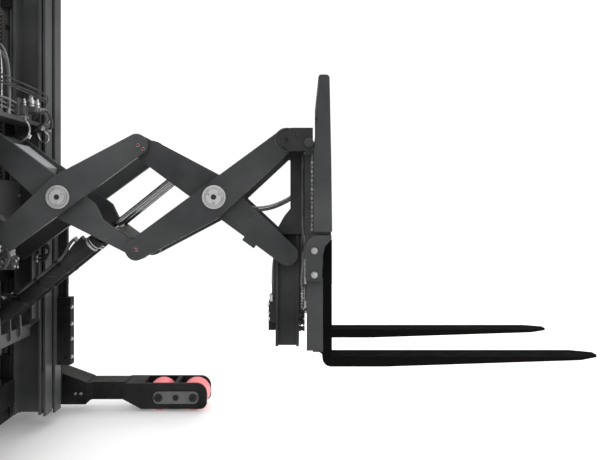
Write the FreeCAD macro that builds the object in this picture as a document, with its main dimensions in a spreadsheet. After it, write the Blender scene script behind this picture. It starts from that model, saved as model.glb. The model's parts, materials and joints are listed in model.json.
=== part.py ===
import FreeCAD, Part
import Sketcher
import math
import os

# Stand-up reach truck with a double pantograph, three-stage mast and battery drive.
# Millimetres, +X towards the fork tips, +Y to the driver's left, +Z up, floor at z = 0.
# Every piece is drawn in a frame whose x = 0 is the front face of the mast, and its Placement
# moves it by mastFront, so that the document's origin is under the middle of the whole truck.

doc = FreeCAD.newDocument("reach_truck")
sheet = doc.addObject("Spreadsheet::Sheet", "dims")

sizes = {
    # whole truck
    "halfWidth": 600, "rearEnd": -1560, "bodyHalfWidth": 560, "plateWall": 20,
    # base legs and load wheels
    "legWidth": 140, "legFront": 738, "legTop": 153, "legBottom": 15, "legCheek": 14, "legNose": 56,
    "legChin": 34, "beamTop": 160, "beamBottom": 66, "beamFront": 288, "beamInset": 33,
    "beamWidth": 103, "rampFront": 385, "rootFront": 98, "rootStep": 19, "rootFair": 28,
    "rootRear": -300, "rootTop": 221, "rootSlope": -58, "rootBottom": 45, "rootBeamTop": 164,
    "loadWheelRadius": 76, "loadWheelWidth": 98, "loadWheelFront": 664, "loadWheelSpacing": 186,
    "wheelEase": 6, "pocketRear": 396, "pocketBridge": 22, "loadAxleRadius": 15,
    "linkLength": 252, "linkHeight": 68, "linkPlate": 8, "linkInset": 6, "linkGap": 3,
    # mast sections, from the outer stage in
    "mastDepth": 190, "outerFoot": 60, "outerTop": 2620, "outerEdge": 296, "outerWeb": 12,
    "outerFlange": 13, "mastHalfWidth": 361,
    "midFront": -7, "midDepth": 176, "midFoot": 75, "mastTop": 2700, "midEdge": 213, "midOutside": 280,
    "innerFront": -27, "innerDepth": 136, "innerFoot": 85, "innerEdge": 203, "innerOutside": 262,
    "innerDrop": 15, "railWall": 12, "rollerGap": 0.5, "padGap": 0.3, "midRollerRise": 110,
    "rollerSide": 6, "slideEdge": 16, "slideRise": 20, "slideTall": 180,
    "outerTieBack": -290, "outerTieWall": 15, "midTieBack": -266, "midTieWall": 12,
    "innerTieWall": 10, "tieHeight": 120, "midTieCheek": 14, "outerTieFoot": 180,
    "outerTieMiddle": 1100, "outerTieHigh": 1850, "midTieFoot": 260, "midTieMiddle": 1300,
    "midTieHigh": 2080, "innerTieFoot": 145, "innerTieMiddle": 760, "innerTieHigh": 1440,
    "headGap": 12, "headSide": 8, "liftRadius": 33, "liftRodRadius": 22,
    "liftAcross": 255, "liftBack": -225, "liftTop": 2560, "crossMemberTop": 120,
    "barrelFloor": 40, "rodFootGap": 5,
    "freeRadius": 36, "freeRodRadius": 24, "freeFoot": 160, "freeTop": 1560, "freeDrop": 230,
    "sheaveRadius": 44, "sheaveBack": -190, "sheaveHeight": 1995, "sheaveAcross": 75,
    "chainWide": 24, "chainThick": 12, "chainReach": 230,
    "footBlockFront": 69, "footBlockFoot": 295, "footBlockTop": 641, "footBlockInside": 318,
    "footStripFront": 44, "footStripTop": 1011, "footRib": 30, "footPlate": 16, "footBend": 300,
    "footTop": 620,
    # lift carriage
    "sidePlateInner": 185, "sidePlateOuter": 200, "carriageBack": -128, "carriageFront": -25,
    "carriageFoot": 470, "carriageTop": 1515, "carriageRollerSpan": 800, "rollerHub": 8,
    "guideWall": 10, "slideRollerRadius": 35,
    # pantograph
    "rearPivotBack": -85, "upperPivotHeight": 1389, "armHalf": 391, "armReach": 398,
    "outerAngle": 38.2, "innerAngle": 33.9, "armEndRadius": 50, "armJointRadius": 46, "armWall": 20,
    "armCrown": 98, "armCrownAlong": 430, "armCrownRound": 120, "armCrownEnd": 39.5, "armCornerEase": 4,
    "notchStart": 522, "notchEnd": 588, "notchFloor": 10, "notchRound": 28, "webStart": 118,
    "webEnd": 44, "webThick": 12, "stopAlong": 128, "stopLength": 62, "stopRise": 16,
    "innerArmInside": 92, "outerArmInside": 125, "pivotPinRadius": 22, "mainPinRadius": 30,
    "pinGap": 0.05, "openPinGap": 1.5, "hubRadius": 36, "washerRadius": 42,
    "capRadius": 50, "capThick": 5, "capBossRadius": 33, "capBossThick": 12, "socketRadius": 12,
    "socketDepth": 8,
    # reach cylinders
    "reachFootHeight": 612, "reachAcross": 38, "reachRadius": 33, "reachRodRadius": 15,
    "reachEyeShare": 0.5, "reachBarrelLength": 560, "reachPinRadius": 18,
    "reachEyeRadius": 30, "reachEyeInside": 62, "rodGap": 1,
    # reach frame, from the arms' front pivot, and fork carriage
    "channelWeb": 45, "channelEdge": 78, "channelWall": 12, "channelHalf": 51, "channelFoot": 498,
    "channelTop": 994, "cheekInside": 70, "cheekOutside": 86, "cheekFoot": 988,
    "cheekFront": 70, "headRise": 45,
    "frontPlateBack": 40, "frontPlateFront": 62, "slideRollerFront": 38,
    "noseGap": 5, "noseWall": 16, "noseRise": 49, "noseFront": 111,
    "tiltForward": 94, "tiltHeight": 1376, "tiltPinRadius": 16, "tiltLugRadius": 26,
    "tiltCylinderHeight": 640, "tiltCylinderRadius": 27, "tiltRodRadius": 14, "tiltTailBack": 84,
    "forkForward": 185, "forkLength": 1070, "forkWidth": 100, "forkThick": 40, "forkTop": 511,
    "forkShank": 38, "forkShankTop": 975, "forkAcross": 227.5, "forkTipThick": 12, "forkHeel": 35,
    "forkTipRound": 40, "forkTaper": 0.2,
    "barDepth": 40, "barHeight": 80, "lowBarFoot": 552, "lowBarHeight": 90,
    "carriageHalfWidth": 357, "endPlateThick": 14, "bracketThick": 28,
    "backrestTop": 1609, "backrestBar": 14, "backrestWall": 22, "backrestLift": 13, "backrestFoot": 999,
    # body
    "bulkheadThick": 12, "bodyFoot": 70, "floorTop": 235, "trayTop": 130, "trayFloor": 90,
    "batteryBack": -810, "batteryFront": -320, "batteryHalfWidth": 500, "batteryTop": 900,
    "batteryGap": 5, "lidThick": 25, "lidBack": -806,
    "housingBack": -1080, "housingFront": -835, "housingTop": 1180, "housingRound": 45,
    "cabinetInside": 60, "cabinetTop": 1120, "cabinetFront": -1090, "consoleTop": 1290,
    "guardTop": 2350, "guardThick": 50, "postSize": 50,
    "postInset": 40, "postBack": 90, "postRound": 8, "guardEdge": 60,
    "driveBack": -1330, "driveAcross": 300, "driveRadius": 165, "driveWidth": 120,
    "driveAxle": 30, "driveEase": 10,
    "deckFoot": 380, "motorRadius": 110, "motorTop": 660, "turntableRadius": 150,
    "casterBack": -1400, "casterAcross": -320, "casterRadius": 75, "casterWidth": 45,
    "casterTrail": 40, "casterGap": 20, "arch": 195, "rearRound": 110,
    "tillerBack": -1250, "tillerAcross": 330, "tillerRadius": 120, "tillerHub": 35,
    "tillerRise": 50, "tillerThick": 25, "knobTall": 55, "knobRadius": 20, "doorGap": 6, "doorSeam": 3,
    "doorRound": 30, "deckThick": 20, "motorGap": 8, "matThick": 14, "matGap": 5, "padThick": 45,
    "sidePadFoot": 720,
}


class Size:
    # A length or angle that carries its spreadsheet expression along with its value.
    def __init__(self, text, value):
        self.text = text
        self.value = value

    def join(self, sign, other, value):
        return Size("(" + self.text + " " + sign + " " + sized(other).text + ")", value)

    def __add__(self, other):
        return self.join("+", other, self.value + sized(other).value)

    def __sub__(self, other):
        return self.join("-", other, self.value - sized(other).value)

    def __mul__(self, other):
        return self.join("*", other, self.value * sized(other).value)

    def __truediv__(self, other):
        return self.join("/", other, self.value / sized(other).value)

    def __neg__(self):
        return Size("(-1 * " + self.text + ")", -self.value)

    def __radd__(self, other):
        return sized(other) + self

    def __rsub__(self, other):
        return sized(other) - self

    def __rmul__(self, other):
        return sized(other) * self


def sized(number):
    return number if isinstance(number, Size) else Size(repr(float(number)), float(number))


def sine(angle):
    return Size("sin(" + angle.text + ")", math.sin(math.radians(angle.value)))


def cosine(angle):
    return Size("cos(" + angle.text + ")", math.cos(math.radians(angle.value)))


def square_root(size):
    return Size("sqrt(" + size.text + ")", math.sqrt(size.value))


def heading(across, along):
    return Size("(atan2(" + across.text + "; " + along.text + ") / 1 deg)",
                math.degrees(math.atan2(across.value, along.value)))


class Sheet:
    pass


d = Sheet()
for row, (name, number) in enumerate(sizes.items(), start=1):
    sheet.set("A%d" % row, name)
    sheet.set("B%d" % row, str(number))
    sheet.setAlias("B%d" % row, name)
    setattr(d, name, Size("dims." + name, float(number)))
doc.recompute()


def bind(thing, path, size):
    thing.setExpression(path, sized(size).text)


# ---- sketches: every corner, centre and radius is tied to the sheet ----

class Outline:
    def __init__(self, body, plane, offset):
        self.sketch = body.newObject("Sketcher::SketchObject", body.Name + "_sketch")
        origin = [feature for feature in body.Origin.OriginFeatures if feature.Role == plane + "_Plane"]
        self.sketch.AttachmentSupport = [(origin[0], "")]
        self.sketch.MapMode = "FlatFace"
        self.sketch.AttachmentOffset = FreeCAD.Placement(
            FreeCAD.Vector(0, 0, sized(offset).value), FreeCAD.Rotation())
        bind(self.sketch, "AttachmentOffset.Base.z", offset)

    def measure(self, kind, *args):
        size = sized(args[-1])
        number = self.sketch.addConstraint(Sketcher.Constraint(kind, *args[:-1], size.value))
        self.sketch.setExpression("Constraints[%d]" % number, size.text)

    def fix(self, item, end, x, y):
        self.measure("DistanceX", -1, 1, item, end, x)
        self.measure("DistanceY", -1, 1, item, end, y)

    def rule(self, kind, *args):
        self.sketch.addConstraint(Sketcher.Constraint(kind, *args))

    def add(self, shape, helper=False):
        return self.sketch.addGeometry(shape, helper)

    def circle(self, x, y, radius):
        place = FreeCAD.Vector(sized(x).value, sized(y).value)
        item = self.add(Part.Circle(place, FreeCAD.Vector(0, 0, 1), sized(radius).value))
        self.fix(item, 3, x, y)
        self.measure("Radius", item, radius)

    def arc(self, centre, radius, start, end):
        # An arc from start to end about centre, whichever way is the shorter.
        first = math.atan2(start.y - centre.y, start.x - centre.x)
        last = math.atan2(end.y - centre.y, end.x - centre.x)
        forward = (last - first) % (2 * math.pi) <= math.pi
        low, high = (first, last) if forward else (last, first)
        round_part = Part.Circle(centre, FreeCAD.Vector(0, 0, 1), radius)
        item = self.add(Part.ArcOfCircle(round_part, low, high if high > low else high + 2 * math.pi))
        return item, (1, 2) if forward else (2, 1)

    def polygon(self, corners):
        # A closed outline; a corner with a third value is rounded to that radius.
        points = [FreeCAD.Vector(sized(c[0]).value, sized(c[1]).value) for c in corners]
        count = len(points)
        leave, arrive = list(points), list(points)
        centres = [None] * count
        for i, corner in enumerate(corners):
            if len(corner) == 3:
                back = (points[i - 1] - points[i]).normalize()
                ahead = (points[(i + 1) % count] - points[i]).normalize()
                half = back.getAngle(ahead) / 2
                radius = sized(corner[2]).value
                arrive[i] = points[i] + back * (radius / math.tan(half))
                leave[i] = points[i] + ahead * (radius / math.tan(half))
                centres[i] = points[i] + (back + ahead).normalize() * (radius / math.sin(half))
        lines = [self.add(Part.LineSegment(leave[i], arrive[(i + 1) % count])) for i in range(count)]
        for i, corner in enumerate(corners):
            before, after = lines[i - 1], lines[i]
            if centres[i] is None:
                self.rule("Coincident", before, 2, after, 1)
                self.fix(after, 1, corner[0], corner[1])
                continue
            item, ends = self.arc(centres[i], sized(corner[2]).value, arrive[i], leave[i])
            mark = self.add(Part.Point(points[i]), True)
            self.fix(mark, 1, corner[0], corner[1])
            self.rule("PointOnObject", mark, 1, before)
            self.rule("PointOnObject", mark, 1, after)
            self.rule("Tangent", before, 2, item, ends[0])
            self.rule("Tangent", item, ends[1], after, 1)
            self.measure("Radius", item, corner[2])

    def link(self, first, second):
        # Two circles (x, y, radius) joined by their outer tangents.
        one, two = [[sized(v) for v in circle] for circle in (first, second)]
        a = FreeCAD.Vector(one[0].value, one[1].value)
        b = FreeCAD.Vector(two[0].value, two[1].value)
        along = (b - a).normalize()
        side = FreeCAD.Vector(-along.y, along.x)
        lean = (one[2].value - two[2].value) / (b - a).Length
        rise = math.sqrt(1 - lean * lean)
        left, right = along * lean + side * rise, along * lean - side * rise
        corners = [a + left * one[2].value, b + left * two[2].value,
                   b + right * two[2].value, a + right * one[2].value]
        upper = self.add(Part.LineSegment(corners[0], corners[1]))
        lower = self.add(Part.LineSegment(corners[2], corners[3]))
        start = math.atan2(left.y, left.x)
        end = math.atan2(right.y, right.x)
        up = FreeCAD.Vector(0, 0, 1)
        turn = 2 * math.pi
        rearEnd = end if end > start else end + turn
        frontEnd = start if start > end else start + turn
        rear = self.add(Part.ArcOfCircle(Part.Circle(a, up, one[2].value), start, rearEnd))
        front = self.add(Part.ArcOfCircle(Part.Circle(b, up, two[2].value), end, frontEnd))
        for item, circle in ((rear, one), (front, two)):
            self.fix(item, 3, circle[0], circle[1])
            self.measure("Radius", item, circle[2])
        self.rule("Tangent", rear, 1, upper, 1)
        self.rule("Tangent", upper, 2, front, 2)
        self.rule("Tangent", front, 1, lower, 1)
        self.rule("Tangent", lower, 2, rear, 2)


def polygon(*corners):
    return lambda outline: outline.polygon(corners)


def rectangle(x0, y0, x1, y1, radius=None):
    corners = [(x0, y0), (x1, y0), (x1, y1), (x0, y1)]
    return polygon(*[corner + (radius,) for corner in corners] if radius else corners)


def circle(x, y, radius):
    return lambda outline: outline.circle(x, y, radius)


def link(first, second):
    return lambda outline: outline.link(first, second)


# ---- features ----

def new_body(name):
    body = doc.addObject("PartDesign::Body", name)
    body.Label = name
    body.AllowCompound = True
    pieces.append(body)
    bind(body, "Placement.Base.x", mastFront)
    return body


def prism(body, plane, low, high, *shapes, cut=False):
    # Shapes in a plane, padded or pocketed between two places along the remaining axis.
    low, high = sized(low), sized(high)
    toward = -1 if plane == "XZ" else 1
    start = low if (toward == 1) != cut else high
    outline = Outline(body, plane, -start if toward == -1 else start)
    for shape in shapes:
        shape(outline)
    kind = "PartDesign::Pocket" if cut else "PartDesign::Pad"
    feature = body.newObject(kind, body.Name + ("_pocket" if cut else "_pad"))
    feature.Profile = outline.sketch
    feature.Length = high.value - low.value
    bind(feature, "Length", high - low)
    return feature


def turned(body, *profile):
    # A profile of (radius, height) corners turned about the body's own Z axis.
    outline = Outline(body, "XZ", 0)
    outline.polygon(profile)
    feature = body.newObject("PartDesign::Revolution", body.Name + "_turned")
    feature.Profile = outline.sketch
    feature.ReferenceAxis = (outline.sketch, ["V_Axis"])
    feature.Angle = 360
    return feature


def bar(body, x, z, radius, low, high, cut=False):
    return prism(body, "XZ", low, high, circle(x, z, radius), cut=cut)


def mirror(body):
    # The body repeated on the other side of the truck's middle plane.
    doc.recompute()
    feature = body.newObject("PartDesign::Mirrored", body.Name + "_mirrored")
    plane = [item for item in body.Origin.OriginFeatures if item.Role == "XZ_Plane"][0]
    feature.TransformMode = "Whole shape"
    feature.MirrorPlane = (plane, [""])
    body.Tip = feature
    return feature


def place(body, x, y, z, axis=None, angle=None):
    if axis:
        turn = FreeCAD.Rotation(FreeCAD.Vector(*axis), sized(angle).value)
        body.Placement = FreeCAD.Placement(FreeCAD.Vector(), turn)
        bind(body, "Placement.Rotation.Angle", angle)
    bind(body, "Placement.Base.x", mastFront + x)
    bind(body, "Placement.Base.y", y)
    bind(body, "Placement.Base.z", z)


def side(sign, inside, outside):
    return (inside, outside) if sign > 0 else (-outside, -inside)


pieces = []

# Pantograph centres, all in the plane of the truck's side.
outerX, outerZ = d.armHalf * cosine(d.outerAngle), d.armHalf * sine(d.outerAngle)
innerX, innerZ = d.armReach * cosine(d.innerAngle), d.armReach * sine(d.innerAngle)
rearTop = (d.rearPivotBack, d.upperPivotHeight)
rearPivot = (rearTop[0] + outerX, rearTop[1] - outerZ)
rearSlide = (rearTop[0], rearPivot[1] - outerZ)
upperJoint = (rearPivot[0] + innerX, rearPivot[1] + innerZ)
frontPivot = (upperJoint[0] + innerX, rearPivot[1])
frontTop = (frontPivot[0] + outerX, rearTop[1])
frontSlide = (frontTop[0], rearSlide[1])
reachEye = (upperJoint[0] + d.reachEyeShare * innerX, upperJoint[1] - d.reachEyeShare * innerZ)

forkFace = frontTop[0] + d.forkForward
forkTip = forkFace + d.forkLength
tiltAhead = frontTop[0] + d.tiltForward
mastFront = -(forkTip + d.rearEnd) / 2


# ---- base ----

beamOutside = d.halfWidth - d.beamInset
beamInside = beamOutside - d.beamWidth
rootInside = beamInside - d.rootStep


def base_leg(name, sign):
    # A wheel box in front, a narrower beam, and a root block that runs back under the mast.
    body = new_body(name)
    inside, outside = side(sign, d.halfWidth - d.legWidth, d.halfWidth)
    prism(body, "XZ", inside, outside, polygon(
        (d.beamFront, d.beamBottom), (d.rampFront, d.legBottom), (d.legFront, d.legBottom, d.legChin),
        (d.legFront, d.legTop, d.legNose), (d.beamFront, d.legTop)))
    low, high = side(sign, beamInside, beamOutside)
    prism(body, "XY", d.beamBottom, d.beamTop, rectangle(d.rootRear, low, d.beamFront + 12, high))
    low, high = side(sign, rootInside, beamOutside)
    prism(body, "XZ", low, high, polygon(
        (d.rootRear, d.rootBottom), (d.rootFront, d.rootBottom, 10), (d.rootFront, d.rootBeamTop),
        (d.rootSlope, d.rootTop), (d.rootRear, d.rootTop)))
    prism(body, "XY", d.beamBottom, d.beamTop, polygon(
        (d.rootFront - 1, sign * rootInside), (d.rootFront + d.rootFair, sign * (beamInside + 1)),
        (d.rootFront - 1, sign * (beamInside + 1))))
    low, high = side(sign, d.halfWidth - d.legWidth + d.legCheek, d.halfWidth - d.legCheek)
    middle = d.loadWheelFront - d.loadWheelSpacing / 2
    prism(body, "XY", 0, d.legTop + 20, rectangle(d.pocketRear, low, middle - d.pocketBridge / 2, high),
          rectangle(middle + d.pocketBridge / 2, low, d.legFront + 20, high), cut=True)
    low, high = side(sign, d.halfWidth - d.legWidth, d.halfWidth - d.legWidth + d.linkInset)
    prism(body, "XZ", low, high, link_outline(d.linkGap), cut=True)
    for back in (0, 1):
        bar(body, d.loadWheelFront - back * d.loadWheelSpacing, d.loadWheelRadius,
            d.loadAxleRadius, inside, outside, cut=True)


def link_outline(gap):
    middle = d.loadWheelFront - d.loadWheelSpacing / 2
    reach = (d.linkLength - d.linkHeight) / 2
    radius = d.linkHeight / 2 + gap
    return link((middle - reach, d.loadWheelRadius, radius), (middle + reach, d.loadWheelRadius, radius))


def link_plates():
    # The tandem axle: an oblong plate let into each inner cheek, with the two axles across the pocket.
    body = new_body("load_wheel_axles")
    inside = d.halfWidth - d.legWidth + d.linkInset
    prism(body, "XZ", inside - d.linkPlate, inside, link_outline(0))
    for back in (0, 1):
        bar(body, d.loadWheelFront - back * d.loadWheelSpacing, d.loadWheelRadius,
            d.loadAxleRadius, inside, d.halfWidth)
    mirror(body)


for word, sign in (("left", 1), ("right", -1)):
    base_leg("base_leg_" + word, sign)
link_plates()
for word, sign in (("left", 1), ("right", -1)):
    for label, back in (("front", 0), ("rear", 1)):
        wheel = new_body("load_wheel_" + label + "_" + word)
        half = d.loadWheelWidth / 2
        bore = d.loadAxleRadius + d.pinGap
        turned(wheel, (bore, -half), (d.loadWheelRadius, -half, d.wheelEase),
               (d.loadWheelRadius, half, d.wheelEase), (bore, half))
        place(wheel, d.loadWheelFront - back * d.loadWheelSpacing,
              sign * (d.halfWidth - d.legWidth / 2), d.loadWheelRadius, (1, 0, 0), 90)

frame = new_body("base_frame")
prism(frame, "XY", d.trayFloor, d.trayTop,
      rectangle(d.housingFront, -d.bodyHalfWidth, d.rootRear, d.bodyHalfWidth))
prism(frame, "XY", d.outerFoot, d.crossMemberTop,
      rectangle(d.rootRear, -rootInside, -d.mastDepth, rootInside))
prism(frame, "YZ", d.rootRear - d.bulkheadThick, d.rootRear, rectangle(
    -d.batteryHalfWidth, d.trayTop, d.batteryHalfWidth, d.batteryTop + d.batteryGap - d.padGap))

feet = new_body("mast_feet")
prism(feet, "XY", d.outerFoot, d.rootTop,
      rectangle(-d.mastDepth, d.mastHalfWidth, -d.mastDepth + d.footRib, rootInside),
      rectangle(-2 * d.footRib, d.mastHalfWidth, -d.footRib, rootInside))
prism(feet, "XZ", d.mastHalfWidth, d.mastHalfWidth + d.footPlate, polygon(
    (-d.mastDepth, d.rootTop - 10), (0, d.rootTop - 10), (0, d.footBend), (-2 * d.footRib, d.footTop),
    (-d.mastDepth, d.footTop)))
prism(feet, "XZ", d.footBlockInside, d.mastHalfWidth,
      rectangle(0, d.footBlockFoot, d.footBlockFront, d.footBlockTop))
prism(feet, "XZ", d.footBlockInside + 12, d.mastHalfWidth - 6,
      rectangle(0, d.footBlockTop, d.footStripFront, d.footStripTop))
mirror(feet)


# ---- mast ----

def rail_pair(name, front, depth, edge, outside, wall, flange, foot, top):
    # A pair of C-section rails that open towards the middle.
    body = new_body(name)
    prism(body, "XY", foot, top, polygon(
        (front, edge), (front, outside), (front - depth, outside), (front - depth, edge),
        (front - depth + flange, edge), (front - depth + flange, outside - wall),
        (front - flange, outside - wall), (front - flange, edge)))
    return body


outer = rail_pair("outer_mast_rails", sized(0), d.mastDepth, d.outerEdge, d.mastHalfWidth,
                  d.outerWeb, d.outerFlange, d.outerFoot, d.outerTop)
mirror(outer)
middleOfMast = -d.mastDepth / 2
mid = rail_pair("mid_mast_rails", d.midFront, d.midDepth, d.midEdge, d.midOutside,
                d.railWall, d.railWall, d.midFoot, d.mastTop)
outerRoller = d.mastDepth / 2 - d.outerFlange - d.rollerGap
bar(mid, middleOfMast, d.midFoot + d.midRollerRise, outerRoller,
    d.midOutside, d.mastHalfWidth - d.outerWeb - d.rollerSide)
mirror(mid)
inner = rail_pair("inner_mast_rails", d.innerFront, d.innerDepth, d.innerEdge, d.innerOutside,
                  d.railWall, d.railWall, d.innerFoot, d.mastTop - d.innerDrop)
padLow, padHigh = d.innerEdge + d.slideEdge, d.innerOutside - d.slideEdge
prism(inner, "XY", d.innerFoot + d.slideRise, d.innerFoot + d.slideRise + d.slideTall,
      rectangle(d.midFront - d.midDepth + d.railWall + d.padGap, padLow,
                d.innerFront - d.innerDepth, padHigh),
      rectangle(d.innerFront, padLow, d.midFront - d.railWall - d.padGap, padHigh))
mirror(inner)


def bowed_tie(body, back, wall, reach, cheek, height, front):
    # A crossbar that bows back round what stands behind the rails.
    prism(body, "XY", height, height + d.tieHeight, polygon(
        (back, -reach), (front, -reach), (front, -reach + cheek), (back + wall, -reach + cheek),
        (back + wall, reach - cheek), (front, reach - cheek), (front, reach), (back, reach)))


outerTies = new_body("outer_mast_ties")
outerCheek = d.mastHalfWidth - d.outerEdge - d.rollerSide
for height in (d.outerTieFoot, d.outerTieMiddle, d.outerTieHigh, d.outerTop - d.tieHeight):
    bowed_tie(outerTies, d.outerTieBack, d.outerTieWall, d.mastHalfWidth, outerCheek, height, -d.mastDepth)
midTies = new_body("mid_mast_ties")
midBack = d.midFront - d.midDepth
for height in (d.midTieFoot, d.midTieMiddle, d.midTieHigh):
    bowed_tie(midTies, d.midTieBack, d.midTieWall, d.midEdge, d.midTieCheek, height, midBack + d.railWall)
headFoot = d.outerTop + d.headGap
headReach = d.midOutside + d.headSide
tieFace = d.midTieBack + d.midTieWall
prism(midTies, "XY", headFoot, d.mastTop, polygon(
    (d.midTieBack, -headReach), (midBack, -headReach), (midBack, -d.midEdge), (tieFace, -d.midEdge),
    (tieFace, d.midEdge), (midBack, d.midEdge), (midBack, headReach), (d.midTieBack, headReach)))
innerTies = new_body("inner_mast_ties")
innerBack = d.innerFront - d.innerDepth
for height in (d.innerTieFoot, d.innerTieMiddle, d.innerTieHigh, d.mastTop - d.innerDrop - d.tieHeight):
    prism(innerTies, "XY", height, height + d.tieHeight,
          rectangle(innerBack, -d.innerEdge, innerBack + d.innerTieWall, d.innerEdge))

barrels = new_body("lift_cylinder_barrels")
prism(barrels, "XY", d.crossMemberTop, d.liftTop, circle(d.liftBack, d.liftAcross, d.liftRadius))
prism(barrels, "XY", d.crossMemberTop + d.barrelFloor, d.liftTop,
      circle(d.liftBack, d.liftAcross, d.liftRodRadius + d.rodGap), cut=True)
mirror(barrels)
rods = new_body("lift_cylinder_rods")
prism(rods, "XY", d.crossMemberTop + d.barrelFloor + d.rodFootGap, headFoot,
      circle(d.liftBack, d.liftAcross, d.liftRodRadius))
mirror(rods)

freeBack = innerBack - d.freeRadius - d.padGap
free = new_body("free_lift_barrel")
prism(free, "XY", d.freeFoot, d.freeTop, circle(freeBack, 0, d.freeRadius))
prism(free, "XY", d.freeFoot + 30, d.freeTop, circle(freeBack, 0, d.freeRodRadius + d.rodGap), cut=True)
head = new_body("free_lift_crosshead")
prism(head, "XY", d.freeFoot + 30 + d.freeDrop, d.sheaveHeight - 70, circle(freeBack, 0, d.freeRodRadius))
prism(head, "XZ", -d.sheaveAcross - 40, d.sheaveAcross + 40,
      rectangle(d.sheaveBack - 34, d.sheaveHeight - 70, d.sheaveBack + 26, d.sheaveHeight - 48))
for across in (-1, 1):
    low, high = side(across, d.sheaveAcross - 15, d.sheaveAcross + 15)
    bar(head, d.sheaveBack, d.sheaveHeight, d.sheaveRadius, low, high)
prism(head, "XY", d.sheaveHeight - 50, d.sheaveHeight + 14,
      rectangle(d.sheaveBack - 20, -d.sheaveAcross + 15, d.sheaveBack + 20, d.sheaveAcross - 15))
chains = new_body("lift_chains")
chainFoot = d.carriageTop - 90 - d.chainReach
innerArc, outerArc = d.sheaveRadius + d.padGap, d.sheaveRadius + d.chainThick
for across in (-1, 1):
    low, high = side(across, d.sheaveAcross - d.chainWide / 2, d.sheaveAcross + d.chainWide / 2)
    prism(chains, "XZ", low, high, circle(d.sheaveBack, d.sheaveHeight, outerArc))
    prism(chains, "XZ", low, high, circle(d.sheaveBack, d.sheaveHeight, innerArc), cut=True)
    prism(chains, "XZ", low - 1, high + 1, rectangle(
        d.sheaveBack - 2 * outerArc, d.sheaveHeight - 2 * outerArc,
        d.sheaveBack + 2 * outerArc, d.sheaveHeight), cut=True)
for across in (-1, 1):
    low, high = side(across, d.sheaveAcross - d.chainWide / 2, d.sheaveAcross + d.chainWide / 2)
    prism(chains, "XZ", low, high,
          rectangle(d.sheaveBack + innerArc, chainFoot, d.sheaveBack + outerArc, d.sheaveHeight),
          rectangle(d.sheaveBack - outerArc, d.freeTop + 40, d.sheaveBack - innerArc, d.sheaveHeight))


# ---- lift carriage ----

carriage = new_body("lift_carriage")
prism(carriage, "XZ", d.sidePlateInner, d.sidePlateOuter, polygon(
    (d.carriageBack, d.carriageFoot), (d.carriageFront, d.carriageFoot + 90),
    (d.carriageFront, d.carriageTop), (d.carriageBack, d.carriageTop)))
railMiddle = d.innerFront - d.innerDepth / 2
carriageRoller = d.innerDepth / 2 - d.railWall - d.rollerGap
for height in (d.carriageFoot + 120, d.carriageFoot + 120 + d.carriageRollerSpan):
    bar(carriage, railMiddle, height, d.mainPinRadius, d.sidePlateOuter, d.sidePlateOuter + d.rollerHub)
    bar(carriage, railMiddle, height, carriageRoller,
        d.sidePlateOuter + d.rollerHub, d.innerOutside - d.railWall - 4)
guideGap = d.slideRollerRadius + d.rollerGap
guideFoot, guideTop = rearSlide[1] - 340, rearSlide[1] + 60
prism(carriage, "XZ", d.outerArmInside + d.armWall + 5, d.sidePlateInner,
      rectangle(d.carriageBack, guideFoot, d.rearPivotBack - guideGap, guideTop),
      rectangle(d.rearPivotBack + guideGap, guideFoot, d.rearPivotBack + guideGap + d.guideWall, guideTop))
mirror(carriage)
prism(carriage, "YZ", d.carriageBack, d.carriageBack + d.guideWall,
      rectangle(-d.sidePlateInner, rearSlide[1] + 90, d.sidePlateInner, d.upperPivotHeight - 160))
prism(carriage, "XY", d.carriageTop - 20, d.carriageTop,
      rectangle(d.carriageBack, -d.sidePlateInner, d.carriageFront, d.sidePlateInner))
prism(carriage, "XZ", -d.sidePlateInner, d.sidePlateInner,
      rectangle(d.carriageBack, d.carriageFoot + 10, d.carriageBack + 60, d.carriageFoot + 70))
for low, high in ((-90, -76), (-4, 4), (76, 90)):
    prism(carriage, "XZ", low, high, link((d.rearPivotBack, d.reachFootHeight, 26),
                                          (d.rearPivotBack, d.carriageFoot + 50, 30)))
bar(carriage, d.rearPivotBack, d.reachFootHeight, d.reachPinRadius, -90, 90)
bar(carriage, *rearTop, d.pivotPinRadius, -d.sidePlateInner, d.sidePlateInner)
valves = new_body("valve_block")
prism(valves, "XY", d.carriageTop + 0.3, d.carriageTop + 90, rectangle(-110, 30, -40, 150, 6))


# ---- pantograph ----

# Each arm is drawn along the straight line between its two ends: x runs from the outer end, at a
# mast or fork frame, to the end it shares with the next arm, and z rises to the side it is crowned on.
kink = d.outerAngle - d.innerAngle
across, along = d.armReach * sine(kink), d.armHalf + d.armReach * cosine(kink)
armLength = square_root(across * across + along * along)
armLift = heading(across, along)
armLean = d.outerAngle - armLift
outerEnd = (sized(0), sized(0))
outerFace = d.outerArmInside + d.armWall
noseInside = outerFace + d.noseGap
noseOutside = noseInside + d.noseWall
innerFace = d.innerArmInside + d.armWall
washerFace = d.outerArmInside - d.padGap
pinBore, mainBore = d.pivotPinRadius + d.pinGap, d.mainPinRadius + d.pinGap


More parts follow.
